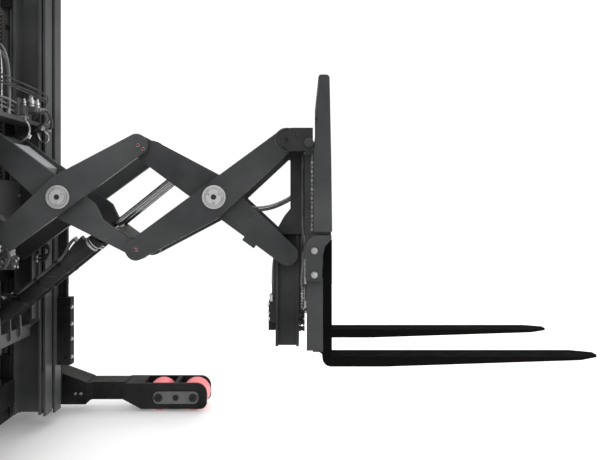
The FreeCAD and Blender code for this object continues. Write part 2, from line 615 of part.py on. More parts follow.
def arm(name, way, notched=False):
    # One plate of a pair; way is 1 or -1 for the side that its crown is on.
    body = new_body(name)
    inside = d.innerArmInside if "inner" in name else d.outerArmInside
    outerRound, jointRound = d.armEndRadius - d.armCornerEase - 2, d.armJointRadius - d.armCornerEase
    crown = (d.armCrownAlong, way * d.armCrown, d.armCrownRound)
    start = ((-d.armEndRadius, -way * d.armEndRadius, outerRound),)
    finish = ((armLength + d.armJointRadius, -way * d.armJointRadius, jointRound),
              (armLength + d.armJointRadius, way * d.armCrownEnd, jointRound))
    if notched:
        start += ((d.notchStart, -way * d.armJointRadius, d.notchRound),
                  (d.notchEnd, -way * d.notchFloor, d.notchRound))
        finish = ((armLength, -way * d.notchFloor), (armLength, way * d.armCrownEnd))
        bar(body, armLength, 0, d.armJointRadius, inside, inside + d.armWall)
    prism(body, "XZ", inside, inside + d.armWall, polygon(
        *start, *finish, crown, (-d.armEndRadius, way * d.armCrownEnd, outerRound)))
    pivot = (d.armHalf * cosine(armLift), way * d.armHalf * sine(armLift))
    return body, pivot, (armLength, sized(0))


def through(body, point, radius):
    bar(body, *point, radius, -noseInside, noseInside, cut=True)


def pose_arm(body, point, angle):
    place(body, point[0], 0, point[1], (0, 1, 0), angle)


rearInner, pivot, joint = arm("rear_inner_arms", -1, notched=True)
for point in (pivot, joint):
    bar(rearInner, *point, d.washerRadius, innerFace, washerFace)
mirror(rearInner)
for point in (outerEnd, pivot, joint):
    bar(rearInner, *point, d.hubRadius, -d.innerArmInside, d.innerArmInside)
through(rearInner, outerEnd, pinBore)
through(rearInner, pivot, mainBore)
prism(rearInner, "XZ", -d.innerArmInside, d.innerArmInside, rectangle(
    armLength - d.webStart, d.notchFloor - d.webThick, armLength - d.webEnd, d.notchFloor))
bar(rearInner, *joint, d.pivotPinRadius, -outerFace, outerFace)
pose_arm(rearInner, rearTop, armLean)

rearOuter, pivot, joint = arm("rear_outer_arms", 1)
bar(rearOuter, *outerEnd, d.slideRollerRadius, outerFace, d.sidePlateInner - 6)
mirror(rearOuter)
through(rearOuter, pivot, mainBore)
bar(rearOuter, *joint, d.pivotPinRadius, -outerFace, outerFace)
pose_arm(rearOuter, rearSlide, -armLean)

frontInner, pivot, joint = arm("front_inner_arms", -1)
for point in (joint, pivot):
    bar(frontInner, *point, d.washerRadius, innerFace, washerFace)
bar(frontInner, *outerEnd, d.slideRollerFront, d.channelWeb + d.channelWall + 4, d.innerArmInside)
prism(frontInner, "XZ", d.innerArmInside, innerFace, rectangle(
    d.stopAlong, d.armEndRadius - 6, d.stopAlong + d.stopLength, d.armEndRadius + d.stopRise))
bar(frontInner, joint[0] - d.reachEyeShare * (joint[0] - pivot[0]), d.reachEyeShare * pivot[1],
    d.reachEyeRadius, d.reachEyeInside + d.padGap, d.innerArmInside)
mirror(frontInner)
for point in (joint, pivot):
    bar(frontInner, *point, d.hubRadius, -d.innerArmInside, d.innerArmInside)
through(frontInner, joint, pinBore)
through(frontInner, pivot, mainBore)
pose_arm(frontInner, frontSlide, 180 + armLean)

frontOuter, pivot, joint = arm("front_outer_arms", 1)
mirror(frontOuter)
through(frontOuter, joint, pinBore)
through(frontOuter, pivot, d.mainPinRadius + d.openPinGap)
through(frontOuter, outerEnd, pinBore)
pose_arm(frontOuter, frontTop, 180 - armLean)


def hexagon(x, z, radius):
    corners = [(x + radius * math.cos(math.radians(turn)), z + radius * math.sin(math.radians(turn)))
               for turn in range(0, 360, 60)]
    return polygon(*corners)


for name, point in (("rear_pivot_pin", rearPivot), ("front_pivot_pin", frontPivot)):
    pin = new_body(name)
    cap = outerFace + d.capThick
    bar(pin, *point, d.mainPinRadius, -outerFace - d.padGap, outerFace + d.padGap)
    for way in (-1, 1):
        bar(pin, *point, d.capRadius, *side(way, outerFace + d.padGap, cap))
        bar(pin, *point, d.capBossRadius, *side(way, cap - 1, outerFace + d.capBossThick))
        bossFace = outerFace + d.capBossThick
        prism(pin, "XZ", *side(way, bossFace - d.socketDepth, bossFace + 1),
              hexagon(*point, d.socketRadius), cut=True)

# Reach cylinders: turned along their own axis, then leaned from the foot pin to the rod's eye.
reachRun = reachEye[0] - d.rearPivotBack
reachRise = reachEye[1] - d.reachFootHeight
lean = heading(reachRun, reachRise)
reachSpan = square_root(reachRun * reachRun + reachRise * reachRise)
reachBarrels = new_body("reach_cylinder_barrels")
boreRadius = d.reachRodRadius + d.rodGap
for across in (-1, 1):
    middle = across * d.reachAcross
    prism(reachBarrels, "XY", d.reachRadius - 5, d.reachBarrelLength, circle(0, middle, d.reachRadius))
    bar(reachBarrels, 0, 0, d.reachEyeRadius, middle - 28, middle + 28)
prism(reachBarrels, "XY", 60, d.reachBarrelLength + 1,
      circle(0, d.reachAcross, boreRadius), circle(0, -d.reachAcross, boreRadius), cut=True)
bar(reachBarrels, 0, 0, d.reachPinRadius + d.pinGap, -90, 90, cut=True)
place(reachBarrels, d.rearPivotBack, 0, d.reachFootHeight, (0, 1, 0), lean)
reachRods = new_body("reach_cylinder_rods")
rodFoot = reachSpan - d.reachBarrelLength + 66
for across in (-1, 1):
    middle = across * d.reachAcross
    prism(reachRods, "XY", rodFoot, reachSpan, circle(0, middle, d.reachRodRadius))
    bar(reachRods, 0, reachSpan, d.reachEyeRadius, middle - 17, middle + 17)
bar(reachRods, 0, reachSpan, d.reachPinRadius, -d.reachEyeInside, d.reachEyeInside)
place(reachRods, d.rearPivotBack, 0, d.reachFootHeight, (0, 1, 0), lean)


# ---- reach frame, tilting fork carriage and forks ----

reach = new_body("reach_frame")
x, z = frontTop
prism(reach, "XY", d.channelFoot, d.channelTop, polygon(
    (x - d.channelHalf, d.channelWeb), (x + d.channelHalf, d.channelWeb),
    (x + d.channelHalf, d.channelEdge), (x + d.channelHalf - d.channelWall, d.channelEdge),
    (x + d.channelHalf - d.channelWall, d.channelWeb + d.channelWall),
    (x - d.channelHalf + d.channelWall, d.channelWeb + d.channelWall),
    (x - d.channelHalf + d.channelWall, d.channelEdge), (x - d.channelHalf, d.channelEdge)))
prism(reach, "XZ", d.cheekInside, d.cheekOutside, polygon(
    (x - 40, d.cheekFoot), (x + d.cheekFront, d.cheekFoot), (x + d.cheekFront, z + d.headRise),
    (x - 15, z + d.headRise), (x - 42, z + 20), (x - 42, z - 20), (x + 14, z - 75), (x + 14, z - 291),
    (x - 12, z - 322), (x - 40, z - 372)))
prism(reach, "XZ", noseInside, noseOutside, polygon(
    (x + 19, z + d.noseRise), (x + d.noseFront, z + d.noseRise), (x + d.noseFront, z - 65), (x + 78, z - 65),
    (x + 78, z - d.noseRise), (x + 10, z - d.noseRise), (x - 22, z - 23), (x - 27, z + 1), (x - 18, z + 19)))
bar(reach, *frontTop, d.hubRadius - 2, d.cheekOutside, washerFace)
mirror(reach)
prism(reach, "YZ", x + d.channelHalf - d.channelWall, x + d.channelHalf,
      rectangle(-d.channelEdge, d.channelFoot, d.channelEdge, d.channelTop))
prism(reach, "YZ", x + d.frontPlateBack, x + d.frontPlateFront,
      rectangle(-d.cheekOutside, d.cheekFoot, d.cheekOutside, z + d.headRise))
prism(reach, "YZ", x + d.frontPlateFront - 8, x + d.frontPlateFront + 6,
      rectangle(-noseOutside, z - d.noseRise, noseOutside, z + d.noseRise))
for way in (-1, 1):
    prism(reach, "XZ", *side(way, 60, 84), link((tiltAhead, d.tiltHeight, d.tiltLugRadius),
                                                (x + d.frontPlateFront, d.tiltHeight, d.tiltLugRadius + 6)))
bar(reach, *frontTop, d.pivotPinRadius, -noseInside - 5, noseInside + 5)
bar(reach, tiltAhead, d.tiltHeight, d.tiltPinRadius + d.pinGap, -90, 90, cut=True)
lowFront = x + d.channelHalf
prism(reach, "YZ", lowFront - 20, lowFront + 1,
      circle(0, d.tiltCylinderHeight, d.tiltCylinderRadius + 4), cut=True)

tiltBarrel = new_body("tilt_cylinder")
rodBore = d.tiltRodRadius + d.rodGap
prism(tiltBarrel, "YZ", x - d.tiltTailBack, x - d.tiltTailBack + 30, rectangle(-42, 558, 42, 690, 10))
prism(tiltBarrel, "YZ", x - d.tiltTailBack + 29, lowFront + 10,
      circle(0, d.tiltCylinderHeight, d.tiltCylinderRadius))
prism(tiltBarrel, "YZ", lowFront - d.channelWall - 14, lowFront - d.channelWall,
      rectangle(-44, d.tiltCylinderHeight - 40, 44, d.tiltCylinderHeight + 40))
prism(tiltBarrel, "YZ", x - d.tiltTailBack + 45, lowFront + 11,
      circle(0, d.tiltCylinderHeight, rodBore), cut=True)
tiltRod = new_body("tilt_rod")
barBack = forkFace - d.forkShank - d.barDepth
prism(tiltRod, "YZ", x - 5, barBack - 1, circle(0, d.tiltCylinderHeight, d.tiltRodRadius))

forkCarriage = new_body("fork_carriage")
barFront = barBack + d.barDepth - d.padGap
topBarTop = d.forkShankTop - 16
prism(forkCarriage, "XZ", -d.carriageHalfWidth, d.carriageHalfWidth,
      rectangle(barBack, topBarTop - d.barHeight, barFront, topBarTop),
      rectangle(barBack, d.lowBarFoot, barFront, d.lowBarFoot + d.lowBarHeight))
for sign in (-1, 1):
    low, high = side(sign, d.carriageHalfWidth, d.carriageHalfWidth + d.endPlateThick)
    prism(forkCarriage, "XZ", low, high, rectangle(barBack - 23, d.lowBarFoot + 9, barFront - 1, 836))
    low, high = side(sign, d.carriageHalfWidth, d.carriageHalfWidth + d.bracketThick)
    prism(forkCarriage, "XZ", low, high, polygon(
        (barBack - 27, 826), (barBack - 27, 959), (barBack - 18, 978), (barBack + 4, d.backrestFoot),
        (forkFace - 7, d.backrestFoot), (forkFace - 7, 985), (forkFace - 31, 959), (barFront - 2, 924),
        (barFront - 5, 826)))
    low, high = side(sign, 94, 124)
    prism(forkCarriage, "XZ", low, high, polygon(
        (barBack, d.lowBarFoot), (barBack + 24, d.lowBarFoot), (barBack + 24, topBarTop),
        (tiltAhead + 20, d.tiltHeight - 60), (tiltAhead + 20, d.tiltHeight + 20, 12),
        (tiltAhead - 18, d.tiltHeight + 20, 12), (tiltAhead - 18, 950), (barBack, 920)))
bar(forkCarriage, tiltAhead, d.tiltHeight, d.tiltPinRadius, -124, 124)

backrest = new_body("load_backrest")
backFoot, backRear = d.backrestFoot + d.padGap, forkFace - 74
uprightFront = forkFace - 4
inside = d.carriageHalfWidth - 6
for sign in (-1, 1):
    low, high = side(sign, inside, inside + d.backrestWall)
    prism(backrest, "XZ", low, high, polygon(
        (backRear, backFoot + d.backrestLift), (uprightFront, backFoot + d.backrestLift),
        (uprightFront - 3, 1266), (uprightFront - 10, d.backrestTop, 14),
        (backRear + 18, d.backrestTop, 10), (backRear + 18, 1470), (backRear, 1304)))
outside = inside + d.backrestWall
prism(backrest, "XZ", -inside, inside,
      rectangle(backRear + 18, d.backrestTop - 46, backRear + 36, d.backrestTop - 3))
prism(backrest, "XZ", -outside, outside,
      rectangle(uprightFront - 34, backFoot, uprightFront - 14, backFoot + 50))
for step in range(1, 6):
    across = inside * (step / 3.0 - 1)
    prism(backrest, "XZ", across - d.backrestBar / 2, across + d.backrestBar / 2,
          rectangle(uprightFront - 33, backFoot + 50, uprightFront - 15, d.backrestTop - 46))

for word, sign in (("left", 1), ("right", -1)):
    fork = new_body("fork_" + word)
    low, high = side(sign, d.forkAcross - d.forkWidth / 2, d.forkAcross + d.forkWidth / 2)
    shankBack = forkFace - d.forkShank
    hook = shankBack - 22
    prism(fork, "XZ", low, high, polygon(
        (shankBack, d.forkTop - d.forkThick, d.forkHeel),
        (forkFace + d.forkLength * d.forkTaper, d.forkTop - d.forkThick),
        (forkTip, d.forkTop - d.forkTipThick), (forkTip, d.forkTop), (forkFace, d.forkTop, 8),
        (forkFace, d.forkShankTop), (hook, d.forkShankTop), (hook, topBarTop + d.padGap),
        (shankBack, topBarTop + d.padGap), (shankBack, d.lowBarFoot - d.padGap),
        (hook, d.lowBarFoot - d.padGap), (hook, d.lowBarFoot - 17), (shankBack, d.lowBarFoot - 32)))
    corner = d.forkTipRound
    for edge, way in ((low, 1), (high, -1)):
        prism(fork, "XY", d.forkTop - d.forkThick, d.forkTop + 1, polygon(
            (forkTip - corner * 2, edge), (forkTip, edge + way * corner * 0.8),
            (forkTip + 5, edge + way * corner * 0.8), (forkTip + 5, edge - way * 5),
            (forkTip - corner * 2, edge - way * 5)), cut=True)


# ---- battery and body ----

battery = new_body("battery")
prism(battery, "XY", d.trayTop, d.batteryTop,
      rectangle(d.batteryBack, -d.batteryHalfWidth, d.batteryFront, d.batteryHalfWidth))
gates = new_body("battery_gates")
prism(gates, "XZ", d.bodyHalfWidth - 40, d.bodyHalfWidth,
      rectangle(d.batteryBack, d.trayTop, d.rootRear - 8, d.batteryTop - 220, 20))
mirror(gates)
lid = new_body("battery_cover")
lidFoot = d.batteryTop + d.batteryGap
lidTop = lidFoot + d.lidThick
prism(lid, "XY", lidFoot, lidTop, rectangle(d.lidBack, -d.bodyHalfWidth, d.rootRear, d.bodyHalfWidth))
for across in (-1, 1):
    low, high = side(across, 300, 400)
    bar(lid, d.lidBack - 6, lidTop, 8, low, high)
housing = new_body("power_unit_housing")
prism(housing, "XZ", -d.bodyHalfWidth, d.bodyHalfWidth, polygon(
    (d.housingBack, d.floorTop), (d.housingFront, d.floorTop), (d.housingFront, d.housingTop, 40),
    (d.housingFront - 60, d.housingTop), (d.housingFront - 75, d.consoleTop, 20),
    (d.housingBack, d.housingTop + 50, 20)))
prism(housing, "XY", d.floorTop - 1, d.consoleTop + 1,
      rectangle(d.housingBack - 50, -d.bodyHalfWidth - 50, d.housingFront + 50, d.bodyHalfWidth + 50),
      rectangle(d.housingBack, -d.bodyHalfWidth, d.housingFront, d.bodyHalfWidth, d.housingRound), cut=True)
chassis = new_body("chassis")
skirt = d.plateWall


def tub(inset):
    # The chassis outline seen from above, drawn in from the outside by inset.
    back, front, reach = d.rearEnd + inset, d.housingFront - inset, d.bodyHalfWidth - inset
    bend = d.rearRound - inset
    return polygon((back, -reach, bend), (front, -reach), (front, reach), (back, reach, bend))


prism(chassis, "XY", d.bodyFoot, d.floorTop, tub(sized(0)))
prism(chassis, "XY", d.bodyFoot, d.floorTop - skirt, tub(skirt), cut=True)
prism(chassis, "XY", d.bodyFoot, d.floorTop, circle(d.driveBack, d.driveAcross, d.arch), cut=True)
cabinet = new_body("drive_cabinet")
doorBack = d.rearEnd + skirt + d.padGap
cabinetRoom = d.cabinetInside + skirt
outerWall = d.bodyHalfWidth - skirt
prism(cabinet, "XY", d.floorTop, d.cabinetTop,
      rectangle(doorBack, d.cabinetInside, d.cabinetFront, d.bodyHalfWidth))
prism(cabinet, "XY", d.floorTop, d.cabinetTop - skirt,
      rectangle(doorBack - 1, cabinetRoom, d.cabinetFront - skirt, outerWall), cut=True)
prism(cabinet, "XY", d.deckFoot, d.deckFoot + d.deckThick,
      rectangle(doorBack + 30, cabinetRoom, d.cabinetFront - skirt, outerWall))
prism(cabinet, "XY", d.deckFoot, d.deckFoot + d.deckThick,
      circle(d.driveBack, d.driveAcross, d.motorRadius + d.motorGap), cut=True)
door = new_body("service_door")
prism(door, "YZ", d.rearEnd, d.rearEnd + skirt, rectangle(
    d.cabinetInside + d.doorSeam, d.floorTop + d.doorGap, d.bodyHalfWidth - d.doorSeam,
    d.cabinetTop - d.doorSeam, d.doorRound))
wall = new_body("side_wall")
prism(wall, "XZ", -d.bodyHalfWidth, -outerWall, polygon(
    (d.rearEnd, d.floorTop), (d.cabinetFront, d.floorTop), (d.cabinetFront, d.cabinetTop),
    (d.rearEnd + 60, d.cabinetTop, 60), (d.rearEnd, 900)))
mat = new_body("floor_mat")
prism(mat, "XY", d.floorTop, d.floorTop + d.matThick, rectangle(
    d.rearEnd + 30, -outerWall + d.matGap, d.cabinetFront - d.matGap, d.cabinetInside - d.matGap, 15))
leanPad = new_body("side_pad")
prism(leanPad, "XZ", -outerWall + d.padGap, -outerWall + d.padThick, rectangle(
    d.rearEnd + 90, d.sidePadFoot, d.cabinetFront - 40, d.cabinetTop - 20, 20))
tiller = new_body("steering_tiller")
tillerFoot, tillerTop = d.cabinetTop + d.tillerRise, d.cabinetTop + d.tillerRise + d.tillerThick
prism(tiller, "XY", d.cabinetTop + d.padGap, tillerFoot, circle(d.tillerBack, d.tillerAcross, d.tillerHub))
prism(tiller, "XY", tillerFoot, tillerTop, circle(d.tillerBack, d.tillerAcross, d.tillerRadius))
prism(tiller, "XY", tillerTop, tillerTop + d.knobTall,
      circle(d.tillerBack - d.tillerRadius + 25, d.tillerAcross, d.knobRadius))
posts = new_body("guard_posts")
guardLow = d.guardTop - d.guardThick
postOut = d.bodyHalfWidth - d.postInset
for foot, back in ((d.housingTop, d.housingFront - d.postSize - 5), (d.cabinetTop, d.rearEnd + d.postBack)):
    prism(posts, "XY", foot, guardLow,
          rectangle(back, postOut - d.postSize, back + d.postSize, postOut, d.postRound))
mirror(posts)
guard = new_body("overhead_guard")
opening = d.bodyHalfWidth - d.guardEdge
prism(guard, "XY", guardLow, d.guardTop,
      rectangle(d.rearEnd + 20, -d.bodyHalfWidth, d.housingFront, d.bodyHalfWidth, d.guardEdge))
prism(guard, "XY", guardLow, d.guardTop, rectangle(
    d.rearEnd + d.postBack, -opening, d.housingFront - d.guardEdge - 10, opening, d.guardEdge / 2), cut=True)
for step in range(1, 8):
    across = opening * (step / 4.0 - 1)
    prism(guard, "XY", guardLow + 10, d.guardTop - 10, rectangle(
        d.rearEnd + d.postBack - 2, across - 9, d.housingFront - d.guardEdge - 8, across + 9))

drive = new_body("drive_unit")
turntable = d.deckFoot - d.padGap
prism(drive, "XY", turntable - 30, turntable, circle(d.driveBack, d.driveAcross, d.turntableRadius))
prism(drive, "XY", turntable, d.motorTop, circle(d.driveBack, d.driveAcross, d.motorRadius))
gearIn = d.driveAcross + d.driveWidth / 2 + 6
prism(drive, "XZ", gearIn, gearIn + 60,
      link((d.driveBack, d.driveRadius, 70), (d.driveBack, turntable - 95, 90)))
bar(drive, d.driveBack, d.driveRadius, d.driveAxle, d.driveAcross - d.driveWidth / 2, gearIn)
driveWheel = new_body("drive_wheel")
half, bore = d.driveWidth / 2, d.driveAxle + d.pinGap
turned(driveWheel, (bore, -half), (d.driveRadius, -half, d.driveEase), (d.driveRadius, half, d.driveEase),
       (bore, half))
place(driveWheel, d.driveBack, d.driveAcross, d.driveRadius, (1, 0, 0), 90)
caster = new_body("caster_yoke")
casterTop = d.floorTop - skirt - d.padGap
prism(caster, "XY", casterTop - 20, casterTop, circle(d.casterBack, d.casterAcross, 70))
wheelX = d.casterBack - d.casterTrail
prism(caster, "XZ", d.casterAcross - d.casterGap / 2, d.casterAcross + d.casterGap / 2, polygon(
    (d.casterBack - 60, casterTop - 20), (d.casterBack + 60, casterTop - 20),
    (wheelX + 26, d.casterRadius - 26, 20), (wheelX - 26, d.casterRadius - 26, 20)))
bar(caster, wheelX, d.casterRadius, 12 + d.pinGap, d.casterAcross - 30, d.casterAcross + 30, cut=True)
casterWheels = new_body("caster_wheels")
gap, far = d.casterGap / 2 + 3, d.casterGap / 2 + 3 + d.casterWidth
turned(casterWheels, (0, -far), (d.casterRadius, -far, 8), (d.casterRadius, -gap, 8), (12, -gap),
       (12, gap), (d.casterRadius, gap, 8), (d.casterRadius, far, 8), (0, far))
place(casterWheels, wheelX, d.casterAcross, d.casterRadius, (1, 0, 0), 90)


# ---- check and write ----

doc.recompute()
faults = []
for item in doc.Objects:
    if "Invalid" in item.State or "Error" in item.State:
        faults.append(item.Name + " " + str(item.State))
for body in pieces:
    shape = body.Shape
    if shape.isNull() or not shape.isValid() or not shape.Solids:
        faults.append(body.Label + " has no valid solid")
if faults:
    raise SystemExit("\n".join(faults))

os.makedirs("parts", exist_ok=True)
for body in pieces:
    body.Shape.exportStep("parts/" + body.Label + ".step")
print(len(pieces), "sub-parts written")
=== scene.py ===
import json
import math

import bmesh
import bpy
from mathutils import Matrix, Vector


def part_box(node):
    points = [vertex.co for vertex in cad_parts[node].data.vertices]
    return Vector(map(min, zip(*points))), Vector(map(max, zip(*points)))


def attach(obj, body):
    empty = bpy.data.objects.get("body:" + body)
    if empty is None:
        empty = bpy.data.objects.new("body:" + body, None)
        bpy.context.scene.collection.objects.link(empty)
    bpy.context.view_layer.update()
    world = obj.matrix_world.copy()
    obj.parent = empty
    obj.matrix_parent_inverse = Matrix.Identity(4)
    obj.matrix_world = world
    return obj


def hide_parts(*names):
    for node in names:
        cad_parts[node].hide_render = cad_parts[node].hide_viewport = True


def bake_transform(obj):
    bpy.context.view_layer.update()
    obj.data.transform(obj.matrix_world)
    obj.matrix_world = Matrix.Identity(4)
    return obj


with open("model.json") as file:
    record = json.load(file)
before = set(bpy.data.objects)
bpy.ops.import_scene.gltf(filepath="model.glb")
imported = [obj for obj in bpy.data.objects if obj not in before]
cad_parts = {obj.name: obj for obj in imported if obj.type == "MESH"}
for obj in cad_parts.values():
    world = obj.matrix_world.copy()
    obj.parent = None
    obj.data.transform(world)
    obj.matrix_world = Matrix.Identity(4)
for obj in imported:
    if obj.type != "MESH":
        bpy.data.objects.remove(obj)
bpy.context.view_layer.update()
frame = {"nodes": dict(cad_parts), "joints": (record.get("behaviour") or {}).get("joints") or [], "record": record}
nodes = frame["nodes"]
print("frame loaded:", len(nodes), "nodes")


# Shader maths: a wire is one output socket, and an expression on wires adds Math nodes.
class Wire:
    def __init__(self, shader, socket):
        self.shader = shader
        self.socket = socket

    def maths(self, operation, *others):
        values = dict(enumerate((self, *others)))
        return self.shader.add("ShaderNodeMath", {"operation": operation}, values).out(0)

    def flipped(self, operation, other):
        return self.shader.add("ShaderNodeMath", {"operation": operation}, {0: other, 1: self}).out(0)

    def __add__(self, other):
        return self.maths("ADD", other)

    def __radd__(self, other):
        return self.flipped("ADD", other)

    def __sub__(self, other):
        return self.maths("SUBTRACT", other)

    def __rsub__(self, other):
        return self.flipped("SUBTRACT", other)

    def __mul__(self, other):
        return self.maths("MULTIPLY", other)

    def __truediv__(self, other):
        return self.maths("DIVIDE", other)

    def ramp(self, low, high):
        # 0 below low, 1 above high, straight in between
        return self.shader.add("ShaderNodeMapRange", {"clamp": True}, {0: self, 1: low, 2: high}).out(0)


class Part:
    def __init__(self, shader, node):
        self.shader = shader
        self.node = node

    def out(self, name):
        return Wire(self.shader, self.node.outputs[name])


class Shader:
    def __init__(self, name):
        self.material = bpy.data.materials.new(name)
        self.material.use_nodes = True
        self.tree = self.material.node_tree
        self.tree.nodes.clear()
        self.place = self.add("ShaderNodeTexCoord").out("Object")

    def add(self, kind, settings=None, values=None):
        node = self.tree.nodes.new(kind)
        for key, value in (settings or {}).items():
            setattr(node, key, value)
        for key, value in (values or {}).items():
            if isinstance(value, Wire):
                self.tree.links.new(value.socket, node.inputs[key])
            else:
                node.inputs[key].default_value = value
        return Part(self, node)

    def noise(self, scale, detail=3, place=None, rough=0.55):
        values = {"Vector": place or self.place, "Scale": scale, "Detail": detail, "Roughness": rough}
        return self.add("ShaderNodeTexNoise", None, values).out("Fac")

    def cells(self, feature, scale):
        values = {"Vector": self.place, "Scale": scale}
        return self.add("ShaderNodeTexVoronoi", {"feature": feature}, values).out("Distance")

    def stretch(self, x, y, z):
        # the object's own coordinates, scaled along each axis
        return self.add("ShaderNodeVectorMath", {"operation": "MULTIPLY"},
                        {0: self.place, 1: (x, y, z)}).out(0)

    def blendColours(self, mask, first, second):
        settings = {"data_type": "RGBA", "clamp_factor": True}
        return self.add("ShaderNodeMix", settings, {0: mask, 6: first, 7: second}).out(2)

    def upward(self):
        # 1 on faces that look up, 0 on the rest
        normal = self.add("ShaderNodeNewGeometry").out("Normal")
        return self.add("ShaderNodeSeparateXYZ", None, {0: normal}).out("Z").ramp(0.4, 0.95)

    def bump(self, height, strength, distance):
        values = {"Height": height, "Strength": strength, "Distance": distance}
        return self.add("ShaderNodeBump", None, values).out("Normal")

    def finish(self, **sockets):
        # the Principled shader with its sockets set or linked, wired to the output
        names = {"colour": "Base Color", "rough": "Roughness", "metal": "Metallic", "normal": "Normal",
                 "glow": "Emission Color", "glowStrength": "Emission Strength",
                 "specular": "Specular IOR Level", "soft": "Subsurface Weight",
                 "softDepth": "Subsurface Scale"}
        values = {names[key]: value for key, value in sockets.items()}
        principled = self.add("ShaderNodeBsdfPrincipled", None, values)
        self.add("ShaderNodeOutputMaterial", None, {"Surface": principled.out("BSDF")})
        return self.material


black, white = (0, 0, 0, 1), (1, 1, 1, 1)


def grey(level, tint=0.0):
    # a neutral colour, a touch cooler with a positive tint
    return (level * (1 - tint), level, level * (1 + tint), 1)


def mixed(first, second, share):
    return tuple(a + (b - a) * share for a, b in zip(first, second))


paintLook = {"peelScale": 520, "peelStrength": 0.10, "dustAndTopLightShare": 0.22, "scratchShare": 0.35}


def paint(name, base, rough=0.42, dust=1.0, wear=1.0, shine=0.5):
    # sprayed steel: slight orange peel, uneven tone, fine scratches, and faces that look up made lighter, partly
    # by dust that settles on top and partly as a painted highlight of the light from above
    shader = Shader(name)
    tone = shader.noise(3.5, 4).ramp(0.3, 0.7)
    body = shader.blendColours(tone, mixed(base, black, 0.10), mixed(base, white, 0.035))
    grime = shader.noise(14, 6, rough=0.7).ramp(0.55, 0.82)
    body = shader.blendColours(grime * 0.35 * wear, body, mixed(base, black, 0.45))
    scratch = shader.noise(9, 2, shader.stretch(1.0, 6.0, 30.0)).ramp(0.71, 0.74)
    scratch = scratch * shader.noise(2.3, 2).ramp(0.48, 0.6)
    body = shader.blendColours(scratch * paintLook["scratchShare"] * wear, body, mixed(base, white, 0.25))
    # faces that look up are lightened: settled dust, and with it a painted highlight where the overhead light
    # falls
    dustAndTopLight = shader.upward() * shader.noise(6, 5).ramp(0.25, 0.75)
    body = shader.blendColours(dustAndTopLight * paintLook["dustAndTopLightShare"] * dust, body,
                               mixed(base, grey(0.30, -0.03), 0.35))
    normal = shader.bump(shader.noise(paintLook["peelScale"], 2), paintLook["peelStrength"], 0.0004)
    roughness = rough + dustAndTopLight * 0.2 * dust + (tone - 0.5) * 0.08 - scratch * 0.08
    return shader.finish(colour=body, rough=roughness, normal=normal, specular=shine)


def bareSteel(name, base, rough=0.3, stain=0.3):
    # zinc or bright steel with a fine brushed grain and faint staining
    shader = Shader(name)
    grain = shader.noise(30, 3, shader.stretch(60, 60, 4))
    patches = shader.noise(25, 5).ramp(0.4, 0.75)
    body = shader.blendColours(patches * stain, base, mixed(base, (0.1, 0.09, 0.08, 1), 0.55))
    normal = shader.bump(grain, 0.08, 0.0004)
    return shader.finish(colour=body, rough=rough + grain * 0.12 + patches * 0.12, metal=1.0, normal=normal)


def chromePlate(name):
    shader = Shader(name)
    smear = shader.noise(18, 4, shader.stretch(1, 1, 5)).ramp(0.45, 0.8)
    body = shader.blendColours(smear * 0.35, grey(0.24, 0.01), grey(0.12))
    return shader.finish(colour=body, rough=0.16 + smear * 0.14, metal=1.0)


def castIron(name, base):
    shader = Shader(name)
    lumps = shader.noise(160, 5, rough=0.65)
    tone = shader.noise(9, 4).ramp(0.35, 0.7)
    body = shader.blendColours(tone, mixed(base, black, 0.3), base)
    return shader.finish(colour=body, rough=0.62 + tone * 0.1, normal=shader.bump(lumps, 0.35, 0.0012))


def rubber(name, base, rough=0.62, soft=0.0, dust=0.3):
    # tyre rubber or cast polyurethane with rolled-in dust and small nicks
    shader = Shader(name)
    tone = shader.noise(12, 4).ramp(0.3, 0.75)
    body = shader.blendColours(tone, mixed(base, black, 0.12), mixed(base, white, 0.06))
    dusty = shader.noise(30, 6, rough=0.7).ramp(0.5, 0.8)
    body = shader.blendColours(dusty * dust, body, grey(0.4, -0.04))
    nicks = shader.noise(90, 3).ramp(0.66, 0.72)
    normal = shader.bump(nicks * -1 + shader.noise(400, 2) * 0.3, 0.25, 0.0008)
    return shader.finish(colour=body, rough=rough + dusty * 0.12, normal=normal, soft=soft, softDepth=0.004)


def forkSteel(name):
    # black forged steel, worn grey where pallets slide over it
    shader = Shader(name)
    streaks = shader.noise(14, 4, shader.stretch(1.2, 9, 9)).ramp(0.52, 0.72)
    worn = streaks * shader.upward()
    body = shader.blendColours(worn * 0.4, grey(0.005), grey(0.03))
    scale = shader.noise(70, 6, rough=0.7)
    body = shader.blendColours(scale.ramp(0.5, 0.8) * 0.4, body, grey(0.012, -0.06))
    normal = shader.bump(scale, 0.18, 0.0008)
    roughness = 0.86 - worn * 0.06 + scale * 0.08
    return shader.finish(colour=body, rough=roughness, metal=worn * 0.2, normal=normal, specular=0.02)


def plastic(name, base, rough=0.5, grain=0.25):
    shader = Shader(name)
    pebble = shader.cells("F1", 620)
    tone = shader.noise(8, 3)
    body = shader.blendColours(tone.ramp(0.3, 0.8) * 0.5, base, mixed(base, white, 0.05))
    return shader.finish(colour=body, rough=rough + tone * 0.08, normal=shader.bump(pebble, grain, 0.0006))


def ribbedRubber(name):
    shader = Shader(name)
    across = shader.add("ShaderNodeSeparateXYZ", None, {0: shader.place}).out("Y")
    ribs = (across * 2 * math.pi / 0.012).maths("SINE")
    dusty = shader.noise(20, 5).ramp(0.4, 0.8)
    body = shader.blendColours(dusty * 0.4, grey(0.03), grey(0.12, -0.03))
    return shader.finish(colour=body, rough=0.75 + dusty * 0.1, normal=shader.bump(ribs, 0.8, 0.002))


def vinyl(name):
    shader = Shader(name)
    grain = shader.cells("DISTANCE_TO_EDGE", 260)
    creases = shader.noise(24, 4)
    height = grain.ramp(0.0, 0.08) + creases * 0.6
    body = shader.blendColours(creases.ramp(0.4, 0.7), grey(0.030), grey(0.045))
    return shader.finish(colour=body, rough=0.48 + creases * 0.1, normal=shader.bump(height, 0.35, 0.001))


